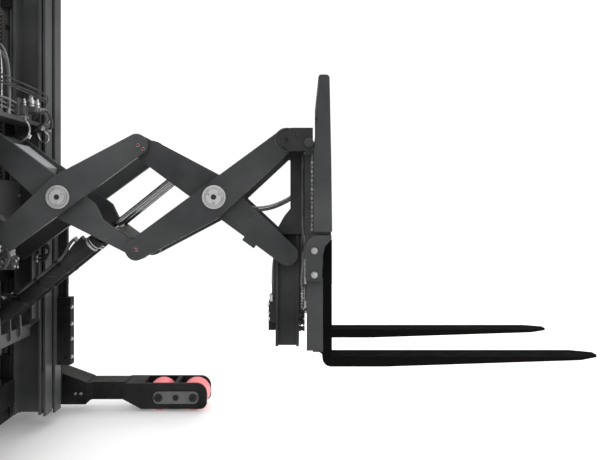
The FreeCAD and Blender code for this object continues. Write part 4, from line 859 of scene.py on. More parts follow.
for side in (-1, 1):
    y = side * reachLook["half"]
    nuts.hollow(onBarrel(end - 42, 0, y), along, glandNut, 36)
    nuts.hollow(onBarrel(end - 27, 0, y), along, lockNut, 36)
    wipers.hollow(onBarrel(end - 2, 0, y), along, [(24.5, 0), (31, 0), (29, 5), (24.5, 6)])
    for port, tail in ((end - 78, 62), (70, 17)):
        corners = ((-tail, 28), (19, 28), (19, 44), (11, 50), (-14, 50), (-tail, 37))
        blocks.slab("y", y - 14, y + 14, [onBarrel(port + a, b) for a, b in corners])
        nuts.turned(onBarrel(port, 49, y), above, portNut, 6)
    hoses.pipe([onBarrel(a, b, y + side * c) for a, b, c in route], reachLook["hose"])
    for back in reachLook["clips"]:
        clips.hollow(onBarrel(end - back, 0, y), along, [(32.8, 0), (34.5, 0), (34.5, 14), (32.8, 14)])
        hoseClip = onBarrel(end - back, 27, y + side * 31)
        clips.hollow(hoseClip, along, [(6.6, 0), (9.2, 0), (9.2, 14), (6.6, 14)], 16)
addPieces("reach cylinder details")


# Reach frame: hoses down its front and back, pin plates and a return spring.
frameLook = {"side": 66, "nearHose": 7, "greyHose": 5.2, "middleHose": 8, "backHose": 8.5, "feed": 6.8,
             "twin": 4.5}
# the hose guards take the arm paint's darker copy: painted shade
guards = Shape("frame_hose_guards", "reach_frame", "arm_paint_painted_shade", 1)
hoses = Shape("frame_front_hoses", "reach_frame", "hose")
greys = Shape("frame_grey_hoses", "reach_frame", "hose_grey")
fittings = Shape("frame_fittings", "reach_frame", "bolt_black", 0.8)
springs = Shape("frame_springs", "reach_frame", "bright_steel")
nearRoute = ((1256, 1, 1352), (1260, 1, 1310), (1261, 1, 1200), (1261, 1, 1080), (1256, 1, 1000),
             (1254, 1, 930), (1256, 1, 850), (1262, 0.96, 780), (1258, 1, 700), (1252, 0.9, 640),
             (1246, 0.9, 618))
greyRoute = ((1262, 0.8, 1350), (1262, 0.8, 1270), (1260, 0.86, 1150), (1262, 0.8, 1030), (1252, 0.9, 960),
             (1262, 1.05, 900), (1256, 1.05, 840), (1250, 1, 760), (1256, 1, 690), (1248, 0.8, 640))
middleRoute = ((1258, 0.5, 1350), (1260, 0.5, 1200), (1262, 0.45, 1040), (1252, 0.5, 940), (1260, 0.6, 820),
               (1254, 0.5, 700), (1246, 0.6, 640))
frameFitting = [(13, -1), (13, 10), (9.5, 12), (9.5, 17), (12.5, 17), (12.5, 26), (0, 26)]
guardOutline = [(1240, 606), (1256, 606), (1265, 620), (1265, 968), (1256, 985), (1240, 985)]
for side in (-1, 1):
    y = side * frameLook["side"]
    for shape, route, radius, sides in ((hoses, nearRoute, "nearHose", 12),
                                        (greys, greyRoute, "greyHose", 10),
                                        (hoses, middleRoute, "middleHose", 12)):
        shape.pipe([(x, y * share, z) for x, share, z in route], frameLook[radius], sides)
    for z in (1320, 1215, 1110):
        fittings.box((1250, y * 0.4 - side * 8, z), (1268, y + side * 8, z + 14))
    springs.coil([(1258, y, 760), (1257, y, 720), (1256, y, 660)], 9.5, 1.9, 6.2)
    for z in (632, 600, 574):
        fittings.turned((1241, y, z), forwards, frameFitting, 6)
    guards.slab("y", side * 50, side * 67, guardOutline)

backHoses = Shape("frame_back_hoses", "reach_frame", "hose")
backBlocks = Shape("frame_back_block", "reach_frame", "bolt_black", 1.2)
backBits = Shape("frame_back_fittings", "reach_frame", "bright_steel")
for y in (-44, -30, 36):
    backHoses.pipe([(1142, y, 906), (1137, y, 888), (1132, y, 860), (1130, y, 810), (1129, y, 750),
                    (1128, y, 710), (1126, y, 684)], frameLook["backHose"])
backBlocks.box((1112, -52, 596), (1139.5, -22, 690))
backBlocks.box((1108, -48, 640), (1114, -28, 676))
for z in (610, 640, 672):
    backBits.turned((1112, -37, z), (-1, 0, 0), [(9, -1), (9, 7), (7, 8), (7, 12), (0, 12)], 6)
for y in (-44, -30):
    backBits.hollow((1121, y, 690), upwards, [(7.6, 0), (11.2, 0), (11.2, 30), (7.6, 30)], 18)

# The feed hose from the right front outer arm to the frame, black with a grey twin.
feed = Shape("frame_feed_hose", None, "hose")
twin = Shape("frame_feed_twin", None, "hose_grey")
feedLine = ((1212, -78, 1146), (1204, -82, 1136), (1150, -82, 1108), (1100, -82, 1094), (1050, -82, 1090),
            (1010, -82, 1098), (976, -82, 1112), (954, -84, 1126))
for shape, lift, radius in ((feed, 0, frameLook["feed"]), (twin, 12, frameLook["twin"])):
    shape.pipe([(x, y, z + lift) for x, y, z in feedLine], radius)

# Nose: a pin plate with its bolt on each cheek, and the rims of the round ends.
noseLook = {"cheek": 166, "plate": 20, "rim": (44, 51.2), "rimFace": 147.8}
noseRims = Shape("nose_rims", "reach_frame", "arm_paint")
nosePins = Shape("nose_pins", "reach_frame", "arm_paint")
nipples = Shape("nose_nipples", "reach_frame", "bolt_black")
cheek, plate, (inner, outer) = noseLook["cheek"], noseLook["plate"], noseLook["rim"]
for side in (-1, 1):
    out = (0, side, 0)
    rim = Vector((upperFront.x, side * noseLook["rimFace"] * mm, upperFront.z))
    noseRims.hollow(rim, out, [(inner, -1), (outer, -1), (outer, 1.6), (inner, 1.6)], 48)
    pinEnd = Vector((tiltPin.x, side * cheek * mm, tiltPin.z))
    nosePins.turned(pinEnd, out, [(plate, -1), (plate, 4), (plate * 0.9, 5), (0, 5)], 30)
    nosePins.capBolt((1236, side * cheek, 1408), out, 8)
    nipples.turned(Vector((upperFront.x, side * cheek * mm, upperFront.z)), out, nippleProfile, 12)
for piece in addPieces("reach frame details"):
    if piece.name in ("frame_feed_hose", "frame_feed_twin"):
        at(980, -82, 1110)
        at(1200, -82, 1140)
        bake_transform(piece)


# Fork carriage: bracket bolts, fork stops with their spring pins, and hoses to the tilt.
carriageLook = {"bracketFace": 385, "boltX": 1303, "boltHeights": (941, 850)}
bolts = Shape("bracket_bolts", "fork_carriage", "bright_steel")
washers = Shape("bracket_washers", "fork_carriage", "bolt_zinc")
stops = Shape("fork_latches", "fork_carriage", "bolt_black", 1)
socketHead = [(10.8, 0), (10.8, 7), (9.2, 8.6), (5.6, 8.6), (5, 7), (0, 7)]
stopPin = [(9, 0), (9, 18), (12, 22), (12, 36), (9, 40), (0, 40)]
x, face = carriageLook["boltX"], carriageLook["bracketFace"]
for side in (-1, 1):
    for z in carriageLook["boltHeights"]:
        washers.turned((x, side * face, z), (0, side, 0), [(12.8, -1), (12.8, 2.2), (12, 3), (0, 3)])
        bolts.turned((x, side * (face + 2.5), z), (0, side, 0), socketHead, 6)
    y = side * 227.5
    stops.turned((1336, y, 972), upwards, stopPin, 24)
    stops.box((1322, y - 16, 968), (1352, y + 16, 977))

# Hoses with clips and springs behind the backrest, and a corrugated tube outside them.
strandLook = {"side": 103, "tube": 124, "spring": 9.2, "wire": 1.6, "pitch": 5, "rings": 19, "ringEvery": 19}
strands = Shape("carriage_strands", "fork_carriage", "hose")
bits = Shape("carriage_strand_bits", "fork_carriage", "bolt_zinc")
beads = Shape("carriage_welds", "fork_carriage", "weld")
feet = Shape("backrest_foot_strips", "fork_carriage", "bolt_black", 0.8)
strandRoutes = (
    (((1260, 101, 1332), (1259, 101, 1250), (1259, 101, 1120), (1259, 101, 1010), (1266, 102, 960),
      (1272, 102, 900), (1268, 103, 830), (1274, 104, 760), (1272, 104, 700), (1284, 104, 660),
      (1297, 104, 640)), 7.5, 12),
    (((1284, 104, 984), (1281, 110.24, 900), (1286, 114.4, 820), (1282, 112.32, 740), (1291, 109.2, 680)),
     5.5, 10),
    (((1298, 124, 1372), (1297, 124, 1330), (1297, 124, 1150), (1298, 124, 1020), (1290, 122, 990),
      (1284, 112, 975)), 4.2, 10))
springWire = [strandLook[key] for key in ("spring", "wire", "pitch")]
for side in (-1, 1):
    y, tube = side * strandLook["side"], side * strandLook["tube"]
    for route, radius, sides in strandRoutes:
        strands.pipe([(x, side * out, z) for x, out, z in route], radius, sides)
    for z, size in ((955, 10), (775, 10), (672, 11)):
        clip = [(size * 0.7, 0), (size, 0), (size, 30), (size * 0.7, 30)]
        bits.hollow((1272, y, z), upwards, clip, 14)
    bits.coil([(1269, y, 800), (1270, y, 835), (1270, y - side, 880)], *springWire)
    for k in range(strandLook["rings"]):
        z, front = 1352 - k * strandLook["ringEvery"], 1303 - k % 3
        wide = 5 if k % 2 else 3
        outline = ((1293, -6), (1297, -8), (front, -4), (front, 4), (1297, 8), (1293, 6))
        bits.slab("y", tube - wide, tube + wide, [(x, z + dz) for x, dz in outline])
    for z in (682, 858):
        beads.bead((1300, side * 356, z), (1334, side * 356, z), 3)
    for z in (1009, 1597):
        beads.bead((1338, side * 349, z), (1356, side * 349, z), 2.8)
    feet.box((1302, side * 364.7 - 8.7, 999.2), (1367, side * 364.7 + 8.7, 1011.8))
addPieces("fork carriage details")


# Legs: bogie plate bolts with near-black rings and strips round them that paint their shade, wheel hubs and tow
# bolts.
legLook = {"plateFace": 457, "ends": (664, 478), "axle": 76, "wheelHalf": 48.4}
heads = Shape("bogie_bolts", "root", "bolt_black")
rims = Shape("bogie_bolt_shade", "root", "painted_shade_and_seam_black")
bogieHead = [(13.5, -1), (13.5, 3), (12, 4), (6, 4), (6, 1.5), (0, 1.5)]
middleHead = [(17.5, -1), (17.5, 1.5), (15.5, 1.5), (15.5, 3), (13, 3.5), (0, 3.5)]
hubRing = [(19, -4), (52, -4), (52, 0.4), (50, 1.2), (21, 1.2), (19, 0.4)]
face, axle, middle = legLook["plateFace"], legLook["axle"], sum(legLook["ends"]) / 2
for side in (-1, 1):
    inward = (0, -side, 0)
    for x in legLook["ends"]:
        away = -1 if x < middle else 1
        # a near-black ring round each end bolt and a thin strip beside it: painted shade
        rims.hollow((x, side * face, axle), inward, [(15, -1), (22.5, -1), (22.5, 1.2), (15, 1.2)])
        heads.turned((x, side * face, axle), inward, bogieHead, 24)
        rims.box((x + away * 26, side * (face - 1.2), 60), (x + away * 30, side * (face + 0.8), 92))
    heads.turned((middle, side * face, axle), inward, middleHead, 6)
for name in ("front_left", "front_right", "rear_left", "rear_right"):
    centre = sum(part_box("load_wheel_" + name), Vector()) / 2
    hub = Shape("wheel_hub_" + name, "load_wheel_" + name, "bolt_black")
    for way in (-1, 1):
        place = centre + Vector((0, way * legLook["wheelHalf"] * mm, 0))
        hub.hollow(place, (0, way, 0), hubRing, 36)
outerHeads = Shape("leg_bolts", "root", "bolt_zinc")
for side in (-1, 1):
    for x in legLook["ends"]:
        outerHeads.turned((x, side * 599.5, axle), (0, side, 0), [(16, -1), (16, 0.8), (0, 0.8)], 24)
    for x, z in ((-250, 120), (-210, 120), (40, 105), (70, 105)):
        outerHeads.capBolt((x, side * 445.5, z), (0, -side, 0), 10)
addPieces("leg details")


# Drive cabinet's top: console with a blank display, key switch, stop button, levers and a knob.
consoleLook = {"top": 1119, "lever": 88, "stop": (-1335, 512), "key": (-1245, 515)}
shell = Shape("console_shell", "root", "dark_plastic", 3)
screen = Shape("console_screen", "root", "screen_glass", 1)
keys = Shape("console_keys", "root", "tiller_plastic", 0.6)
reds = Shape("stop_button", "root", "signal_red")
chromes = Shape("lever_rods", "root", "bright_steel")
knobs = Shape("lever_knobs", "root", "tiller_plastic")
top, lever = consoleLook["top"], consoleLook["lever"]
displayBox = [(-1498, top), (-1392, top), (-1392, 1150), (-1404, 1160), (-1470, 1196), (-1486, 1196),
              (-1498, 1184)]
leverBox = [(-1230, top), (-1120, top), (-1120, 1138), (-1134, 1150), (-1222, 1150), (-1230, 1142)]
shell.slab("y", 92, 190, displayBox)
shell.slab("y", 96, 190, leverBox)
screen.slab("y", 102, 180, [(-1468, 1193), (-1409, 1162), (-1407, 1166), (-1466, 1197)])
for y in (110, 130, 150, 170):
    keys.slab("y", y - 6, y + 6, [(-1483, 1194), (-1472, 1196), (-1472, 1199), (-1483, 1199)])
x, y = consoleLook["stop"]
shell.turned((x, y, top), upwards, [(30, 0), (30, 10), (27, 14), (0, 14)], 36)
stopKnob = [(12, 0), (12, 12), (20, 14), (21.5, 20), (19, 27), (11, 30), (0, 31)]
reds.turned((x, y, top + 13), upwards, stopKnob, 36)
reds.turned((-1190, 525, top), upwards, [(8, 0), (8, 6), (6, 8), (0, 8)], 20)
x, y = consoleLook["key"]
chromes.turned((x, y, top), upwards, [(14, 0), (14, 6), (12, 9), (4, 9), (4, 6), (0, 6)])
knobs.box((x - 10, y - 1.5, 1126), (x + 10, y + 1.5, 1152))
knobs.turned((x, y - 3, 1158), (0, 1, 0), [(11, 0), (11, 6), (0, 6)], 20)
knobs.turned((-1150, 515, top), upwards, [(13, 0), (13, 5), (10, 7), (10, 10), (0, 11)], 24)
bellows = [(9.5, 0), (10.5, 3), (7.5, 6), (9.2, 10), (6.2, 13), (7.8, 17), (4.5, 21), (0, 21)]
leverKnob = [(5, 0), (10.5, 8), (12.5, 18), (10.5, 27), (4, 31), (0, 31)]
lean = (-0.06, 0, 1)
for y in (110, 131, 153, 175):
    keys.turned((-1178, y, 1148), upwards, bellows, 20)
    chromes.turned((-1178, y, 1148), lean, [(3.6, 0), (3.6, lever), (0, lever)], 14)
    knobs.turned((-1183.2, y, 1142 + lever), lean, leverKnob, 24)

# Steering wheel: hub cap, rings on its face and grip ribs round its edge.
wheelLook = {"centre": (-1250, 330, 1195), "ribs": 44}
cap = Shape("steering_cap", "steering_tiller", "dark_plastic")
grip = Shape("steering_grip", "steering_tiller", "tiller_plastic")
wheelTop = at(*wheelLook["centre"])


def onWheel(radius, t, up=0):
    # a place on a level circle round the steering wheel's middle
    return wheelTop + Vector((math.cos(t) * radius, math.sin(t) * radius, up)) * mm


cap.turned(wheelTop, upwards, [(34, -1), (34, 3), (30, 6), (12, 7), (0, 7)], 40)
cap.hollow(wheelTop, upwards, [(94, -1), (100, -1), (99, 3), (95, 3)], 60)
for t in around(5, 0.5):
    cap.turned(onWheel(66, t), upwards, [(18, -1), (18, 1.8), (15, 3), (0, 3)])
for t in around(wheelLook["ribs"]):
    grip.turned(onWheel(118.8, t, -16), upwards, [(1.5, 0), (3.2, 2), (3.2, 12), (1.5, 14)], 8)
addPieces("console")


# Sheet metal: louvres, seams, handles, hinges and screws on the doors, the cabinet and the housing.
panelLook = {"pitch": 22, "standOff": 34, "side": 560, "door": -1560, "screw": 7, "doorScrew": 8}


def onFace(axis, away, along, z):
    # a place on a face square to x or to y
    return (away, along, z) if axis == "x" else (along, away, z)


def louvre(shape, dark, axis, face, out, middle, low, blades, length):
    # a column of pressed louvre blades on a face, over near-black strips that paint the shade in the openings
    # under them
    for z in range(low, low + blades * panelLook["pitch"], panelLook["pitch"]):
        blade = [(face + out * a, z + b) for a, b in ((-1, 0), (7, 1), (8.5, 4), (-1, 14))]
        shape.slab("y" if axis == "x" else "x", middle - length / 2, middle + length / 2, blade)
        dark.box(onFace(axis, face, middle - length / 2 + 4, z - 3),
                 onFace(axis, face + out * 4, middle + length / 2 - 4, z - 0.5))


def handle(shape, face, middle, low, high):
    # a bent upright handle standing off a face that looks back
    off = face - panelLook["standOff"]
    bar = ((face, low), (off, low), (off - 2, low + 12), (off - 2, high - 12), (off, high), (face, high))
    shape.pipe([(x, middle, z) for x, z in bar], 7)


doorVents = Shape("door_louvres", "service_door", "body_paint")
# near-black strips under the door's louvre blades: painted shade
doorDark = Shape("door_louvre_shade", "service_door", "painted_shade_and_seam_black")
doorBits = Shape("door_latch", "service_door", "bolt_zinc", 1)
doorScrews = Shape("door_screws", "service_door", "bolt_black")
for middle, low, blades, length in ((190, 860, 8, 190), (430, 860, 8, 190), (310, 300, 6, 400)):
    louvre(doorVents, doorDark, "x", panelLook["door"], -1, middle, low, blades, length)
latch = [(20, -1), (20, 3), (17, 5), (10, 5), (9, 3), (0, 3)]
x = panelLook["door"]
doorBits.turned((x, 100, 640), (-1, 0, 0), latch)
doorBits.box((x - 18, 96, 600), (x, 104, 626))
for z in (280, 1080):
    for y in (82, 540):
        doorScrews.capBolt((x, y, z), (-1, 0, 0), panelLook["doorScrew"])
for z in (290, 620, 960):
    doorScrews.turned((x + 4, 553, z), upwards, [(6.5, 0), (6.5, 80), (0, 80)], 18)

wallVents = Shape("body_louvres", "root", "body_paint")
# near-black strips under the body's louvre blades: painted shade
wallDark = Shape("body_louvre_shade", "root", "painted_shade_and_seam_black")
seams = Shape("body_seams", "root", "painted_shade_and_seam_black")
screws = Shape("body_screws", "root", "bolt_black")
rails = Shape("grab_rails", "root", "guard_paint")
for vent in (("y", 560, 1, -1310, 300, 9, 300), ("y", 560, 1, -960, 900, 8, 160),
             ("y", -560, -1, -960, 900, 8, 160), ("x", -1080, -1, -250, 960, 7, 260)):
    louvre(wallVents, wallDark, *vent)
# thin dark lines where two sheets meet: from x, y to x, y at a height, and how thick
for x0, y0, x1, y1, z, thick in ((-1538, 560, -1092, 560, 640, 0.8), (-1538, 560, -1092, 560, 1010, 0.8),
                                 (-1078, 560, -837, 560, 760, 0.8), (-1078, -560, -837, -560, 760, 0.8),
                                 (-1558, -560, -1092, -560, 700, 0.7), (-957, -558, -957, 558, 1282.6, 0.7)):
    seams.box((x0 - thick, y0 - thick, z - thick), (x1 + thick, y1 + thick, z + thick))
housing = (-1042, -874), (270, 740, 780, 1150)
screwRows = ((1, *housing), (-1, *housing), (1, (-1530, -1320, -1105), (660, 990)),
             (-1, (-1540,), (270, 680, 960)), (-1, (-1325, -1110), (270, 680, 1090)))
for side, columns, heights in screwRows:
    for x in columns:
        for z in heights:
            screws.capBolt((x, side * panelLook["side"], z), (0, side, 0), panelLook["screw"])
handle(rails, -1080, -480, 760, 960)
handle(rails, -1080, 30, 1150, 1240)
railLine = ((-1080, -60), (-1118, -60), (-1120, -64), (-1120, -420), (-1118, -424), (-1080, -424))
rails.pipe([(x, y, 1180) for x, y in railLine], 10, 16)
for y, z in ((-60, 1180), (-424, 1180), (-480, 760), (-480, 960), (30, 1150), (30, 1240)):
    screws.turned((-1080, y, z), (-1, 0, 0), [(19, -1), (19, 3), (13, 6), (0, 6)], 24)
addPieces("body panels")


# Battery: cover hinges and handles, lifting eyes, gate slots, latches and a capped connector.
batteryLook = {"hinges": (-420, -140, 140, 420), "handles": (-260, 260), "grooveEvery": 80, "gate": 560,
               "slots": (-740, -565, -390), "eyes": (-760, -370)}
hinges = Shape("cover_hinges", "battery_cover", "bolt_black", 0.6)
handles = Shape("cover_handles", "battery_cover", "bolt_zinc")
grooves = Shape("cover_grooves", "battery_cover", "painted_shade_and_seam_black")
slots = Shape("gate_slots", "root", "painted_shade_and_seam_black")
gateBits = Shape("gate_bolts", "root", "bolt_zinc", 0.8)
caseBits = Shape("case_eyes", "root", "painted_shade_and_seam_black")
plug = Shape("connector_plate", "root", "dark_plastic", 1)
coverHinge = pivotOf("battery_cover_hinge")
for y in batteryLook["hinges"]:
    barrel = coverHinge + Vector((0, y - 45, 4)) * mm
    hinges.turned(barrel, (0, 1, 0), [(6.5, 0), (6.5, 90), (0, 90)], 20)
    hinges.box((-806, y - 40, 929.5), (-770, y + 40, 932.5))
    for x in (-796, -780):
        for dy in (-24, 24):
            hinges.capBolt((x, y + dy, 932), upwards, 5)
coverGrip = ((-55, 928), (-55, 944), (-50, 947), (50, 947), (55, 944), (55, 928))
for y in batteryLook["handles"]:
    handles.pipe([(-340, y + dy, z) for dy, z in coverGrip], 5.5)
    for dy in (-55, 55):
        handles.turned((-340, y + dy, 929), upwards, [(12, 0), (12, 2), (0, 2)], 20)
# near-black strips across the battery cover stand for its grooves: painted shade in them
for y in range(-480, 481, batteryLook["grooveEvery"]):
    grooves.box((-700, y - 2, 929.2), (-430, y + 2, 930.6))


def roundSlot(x, z, half, radius, steps):
    # an upright outline: a slot with round ends, or a circle when its half length is nothing
    return [(x + math.copysign(half, math.cos(t)) + radius * math.cos(t), z + radius * math.sin(t))
            for t in around(steps)]


for side in (-1, 1):
    out, gate = (0, side, 0), side * batteryLook["gate"]
    for x in batteryLook["slots"]:
        # a near-black slot outline on each gate: painted shade in the slot
        slots.slab("y", gate - side * 0.6, gate + side * 1.2, roundSlot(x, 610, 45, 14, 24))
        gateBits.turned((x, gate, 180), out, [(13, -1), (13, 4), (10, 6), (0, 6)], 24)
    for x in (-800, -330):
        for z in (220, 420, 640):
            gateBits.capBolt((x, gate, z), out, 8)
    gateBits.box((-590, gate, 640), (-540, gate + side * 8, 668))
    # a near-black disc at each lifting eye: painted shade in the hole
    for x in batteryLook["eyes"]:
        caseBits.slab("y", side * 499.5, side * 501.2, roundSlot(x, 840, 0, 20, 28))
    for z in (720, 780):
        caseBits.bead((-806, side * 500.5, z), (-324, side * 500.5, z), 1.6, pitch=12)
plug.box((-700, -56, 899), (-600, 2, 903))
addPieces("battery details")


# Guard: post feet with bolts, welds, and two working lamps under its front bar.
guardLook = {"post": 50, "weld": 3.4, "bolt": 8, "lamps": (-300, 300), "lampHeight": 2262}
flange = Shape("guard_flange", "root", "guard_paint", 1.5)
guardBolts = Shape("guard_bolts", "root", "bolt_black")
guardWelds = Shape("guard_welds", "root", "weld")
lampShell = Shape("lamp_shells", "root", "dark_plastic")
lampFace = Shape("lamp_faces", "root", "lamp_glass")


def postWelds(x0, y0, z):
    # beads round a square post, along its sides and then across them
    x1, y1 = x0 + guardLook["post"], y0 + guardLook["post"]
    for y in (y0, y1):
        guardWelds.bead((x0 + 2, y, z), (x1 - 2, y, z), guardLook["weld"])
    for x in (x0, x1):
        guardWelds.bead((x, y0 + 2, z), (x, y1 - 2, z), guardLook["weld"])


flange.box((-1492, 448, 1119), (-1398, 542, 1126))
flange.box((-1473, -560, 1112), (-1396, -462, 1121))
for x, y, z in ((-1407, -550, 1121), (-1407, -474, 1121), (-1481, 459, 1126), (-1481, 531, 1126),
                (-1409, 459, 1126), (-1409, 531, 1126)):
    guardBolts.hexBolt((x, y, z), upwards, guardLook["bolt"])
for corner in ((-1470, -520, 1121), (-1470, 470, 1126), (-890, -520, 2299), (-890, 470, 2299),
               (-1470, -520, 2299), (-1470, 470, 2299)):
    postWelds(*corner)
lampBody = [(20, -52), (30, -46), (44, -18), (48, 0), (48, 4), (41, 6), (41, 2), (0, 2)]
for y in guardLook["lamps"]:
    lampShell.turned((-838, y, guardLook["lampHeight"]), forwards, lampBody, 40)
    lampShell.box((-880, y - 7, 2285), (-850, y + 7, 2301))
    lampFace.turned((-836, y, guardLook["lampHeight"]), forwards, [(40, 0), (40, 1.5), (30, 4), (0, 5)], 40)
addPieces("guard details")


# Drive unit: motor ribs, terminal cap, gearbox bolts; wheel tread and hub nuts; caster bearings; step edge.
driveLook = {"motor": (-1330, 300), "ribs": 9, "boltCircle": 84, "nutCircle": 62, "bars": 24, "tread": 164.5}
ribs = Shape("motor_ribs", "drive_unit", "drive_casting")
gearBolts = Shape("motor_bolts", "drive_unit", "bolt_black")
hubNuts = Shape("wheel_nuts", "drive_wheel", "bolt_zinc")
tread = Shape("tyre_grooves", "drive_wheel", "painted_shade_and_seam_black")
casterBits = Shape("caster_hubs", "caster_wheels", "bolt_zinc")
driveX, driveY = driveLook["motor"]
for k in range(driveLook["ribs"]):
    ribs.hollow((driveX, driveY, 470 + k * 18), upwards, [(109, 0), (116.5, 1), (116.5, 4), (109, 5)], 56)
for t in around(6):
    reach = driveLook["boltCircle"]
    bolt = (driveX + reach * math.cos(t), driveY + reach * math.sin(t), 659.5)
    gearBolts.capBolt(bolt, upwards, 10)
terminal = [(52, 0), (52, 10), (46, 14), (20, 14), (18, 10), (0, 10)]
gearBolts.turned((driveX, driveY, 659), upwards, terminal, 40)
driveHub = pivotOf("drive_wheel_roll")
low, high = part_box("drive_wheel")
for way, face in ((-1, low.y), (1, high.y)):
    for t in around(8):
        middle = Vector((driveHub.x, face + way * 0.0005, driveHub.z))
        nut = middle + Vector((math.cos(t), 0, math.sin(t))) * (driveLook["nutCircle"] * mm)
        hubNuts.hexBolt(nut, (0, way, 0), 10)
# near-black bars on the tread stand for its grooves: painted shade in them
for t in around(driveLook["bars"]):
    outward, across = Vector((math.cos(t), 0, math.sin(t))), Vector((-math.sin(t), 0, math.cos(t)))
    for side in (-1, 1):
        # a slanted bar on one half of the tread: u goes round the tyre and v out from its middle
        corners = []
        for u, v in ((-2.2, 12), (2.2, 12), (2.2, 52), (-2.2, 52)):
            step = outward * driveLook["tread"] + across * (u + side * v / 4) + Vector((0, side * v, 0))
            corners.append(driveHub + step * mm)
        tread.loft([corners, [corner + outward * 0.0009 for corner in corners]])
low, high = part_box("caster_wheels")
casterHub = pivotOf("caster_wheels_roll")
for face, way in ((low.y, -1), (high.y, 1)):
    hub = Vector((casterHub.x, face, casterHub.z))
    casterBits.hollow(hub, (0, way, 0), [(12, -2), (30, -2), (30, 1), (12, 1)], 30)

# Floor: the bumper strip's ribs, the pedal and the mat's ribs.
floorLook = {"bumperRibs": 9, "bumperEvery": 6.4, "pedalEvery": 24, "matEvery": 21}
bumper = Shape("bumper_strip", "root", "rubber_mat", 1.2)
pedal = Shape("floor_pedal", "root", "rubber_mat", 0.8)
matRibs = Shape("mat_ribs", "root", "rubber_mat")
bumper.box((-1568, -452, 84), (-1559, 452, 150))
for k in range(floorLook["bumperRibs"]):
    z = 90 + k * floorLook["bumperEvery"]
    bumper.box((-1571, -446, z), (-1567, 446, z + 2.6))
pedal.slab("y", -300, -150, [(-1240, 249), (-1150, 249), (-1150, 268), (-1160, 272), (-1240, 254)])
for y in range(-292, -171, floorLook["pedalEvery"]):
    pedal.slab("y", y, y + 10, [(-1234, 254.6), (-1164, 270.4), (-1164, 273.6), (-1234, 257.8)])
for y in range(-524, 23, floorLook["matEvery"]):
    matRibs.slab("x", -1518, -1106, [(y - 4, 248.5), (y + 4, 248.5), (y + 2.5, 251.2), (y - 2.5, 251.2)])
addPieces("drive and floor details")


# Side pad: a vinyl cushion on the side wall, inflated by a short cloth run, with sewn channels and piping.
padLook = {"voxel": 5, "pressure": 4, "frames": 20, "cap": 11, "channels": (0.28, 0.52, 0.76), "sink": 5,
           "shrink": 7}
padLow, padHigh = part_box("side_pad")


def roundCorners(low, high, radius, steps):
    # (x, z) pairs round an upright rectangle with round corners, in metres
    outline = []
    right, left, top, bottom = high.x - radius, low.x + radius, high.z - radius, low.z + radius
    for cx, cz, start in ((right, top, 0), (left, top, 90), (left, bottom, 180), (right, bottom, 270)):
        for k in range(steps + 1):
            t = math.radians(start + 90 * k / steps)
            outline.append((cx + radius * math.cos(t), cz + radius * math.sin(t)))
    return outline


def padBlank():
    # a slightly smaller block with rounded corners, its back flat on the wall
    shape = Shape()
    inset = padLook["shrink"] * mm
    low = padLow + Vector((inset, 0.0008, inset))
    high = padHigh - Vector((inset, inset * 1.2, inset))
    mid = (low + high) / 2
    rings = []
    for y, shrink in ((low.y, 0.003), (low.y + 0.010, 0.0), (high.y - 0.010, 0.0), (high.y, 0.008)):
        wide, tall = 1 - shrink / 0.16, 1 - shrink / 0.18
        rings.append([(mid.x + (x - mid.x) * wide, y, mid.z + (z - mid.z) * tall)
                      for x, z in roundCorners(low, high, 0.026, 6)])
    shape.loft(rings)
    return shape.made()


def applied(piece):
    # the piece's modifiers turned into its mesh
    graph = bpy.context.evaluated_depsgraph_get()
    mesh = bpy.data.meshes.new_from_object(piece.evaluated_get(graph))
    piece.modifiers.clear()
    piece.data = mesh


cushion = linked(bpy.data.objects.new("side_cushion", padBlank()))
remesh = cushion.modifiers.new("voxels", "REMESH")
remesh.mode = "VOXEL"
remesh.voxel_size = padLook["voxel"] * mm
applied(cushion)
flatMesh = [vertex.co.copy() for vertex in cushion.data.vertices]
backed = cushion.vertex_groups.new(name="backed")
backed.add([v.index for v in cushion.data.vertices if v.co.y < padLow.y + 0.006], 1.0, "REPLACE")
cloth = cushion.modifiers.new("cloth", "CLOTH")
cloth.settings.use_pressure = True
cloth.settings.uniform_pressure_force = padLook["pressure"]
cloth.settings.effector_weights.gravity = 0
cloth.settings.vertex_group_mass = "backed"
cloth.settings.quality = 5
for step in range(1, padLook["frames"] + 1):
    bpy.context.scene.frame_set(step)
applied(cushion)
bpy.context.scene.frame_set(1)


def keptInRoom(mesh):
    # no vertex outside the room that the wall and the CAD pad leave
    low, high = padLow + Vector((0.002, 0.0005, 0.002)), padHigh - Vector((0.002, 0.001, 0.002))
    for vertex in mesh.vertices:
        vertex.co = Vector([max(a, min(b, c)) for a, c, b in zip(low, vertex.co, high)])


sewn = [padLow.z + (padHigh.z - padLow.z) * share for share in padLook["channels"]]
for vertex, start in zip(cushion.data.vertices, flatMesh):
    move = vertex.co - start
    if move.length > padLook["cap"] * mm:
        vertex.co = start + move.normalized() * (padLook["cap"] * mm)
    proud = max(0.0, min(1.0, (vertex.co.y - padLow.y - 0.012) / 0.02))
    reach = min(vertex.co.x - padLow.x, padHigh.x - vertex.co.x) / 0.03
    for height in sewn:
        gap = abs(vertex.co.z - height)
        deep = padLook["sink"] * mm * math.exp(-(gap / 0.007) ** 2)
        vertex.co.y -= deep * proud * max(0, min(1, reach))
    if proud > 0.3:
        # the bays swell between the seams and pucker beside them
        bay = min(abs(vertex.co.z - height) for height in sewn + [padLow.z, padHigh.z])
        pucker = math.sin(vertex.co.x * 210 + vertex.co.z * 60) * math.exp(-(bay / 0.012) ** 2)
        vertex.co.y += 0.0022 * min(1, bay / 0.04) - 0.0007 * pucker
keptInRoom(cushion.data)
cushion.modifiers.new("smooth", "SUBSURF").levels = 1
cushion.modifiers["smooth"].render_levels = 1
applied(cushion)
keptInRoom(cushion.data)
cushion.data.shade_smooth()
cushion.data.materials.clear()
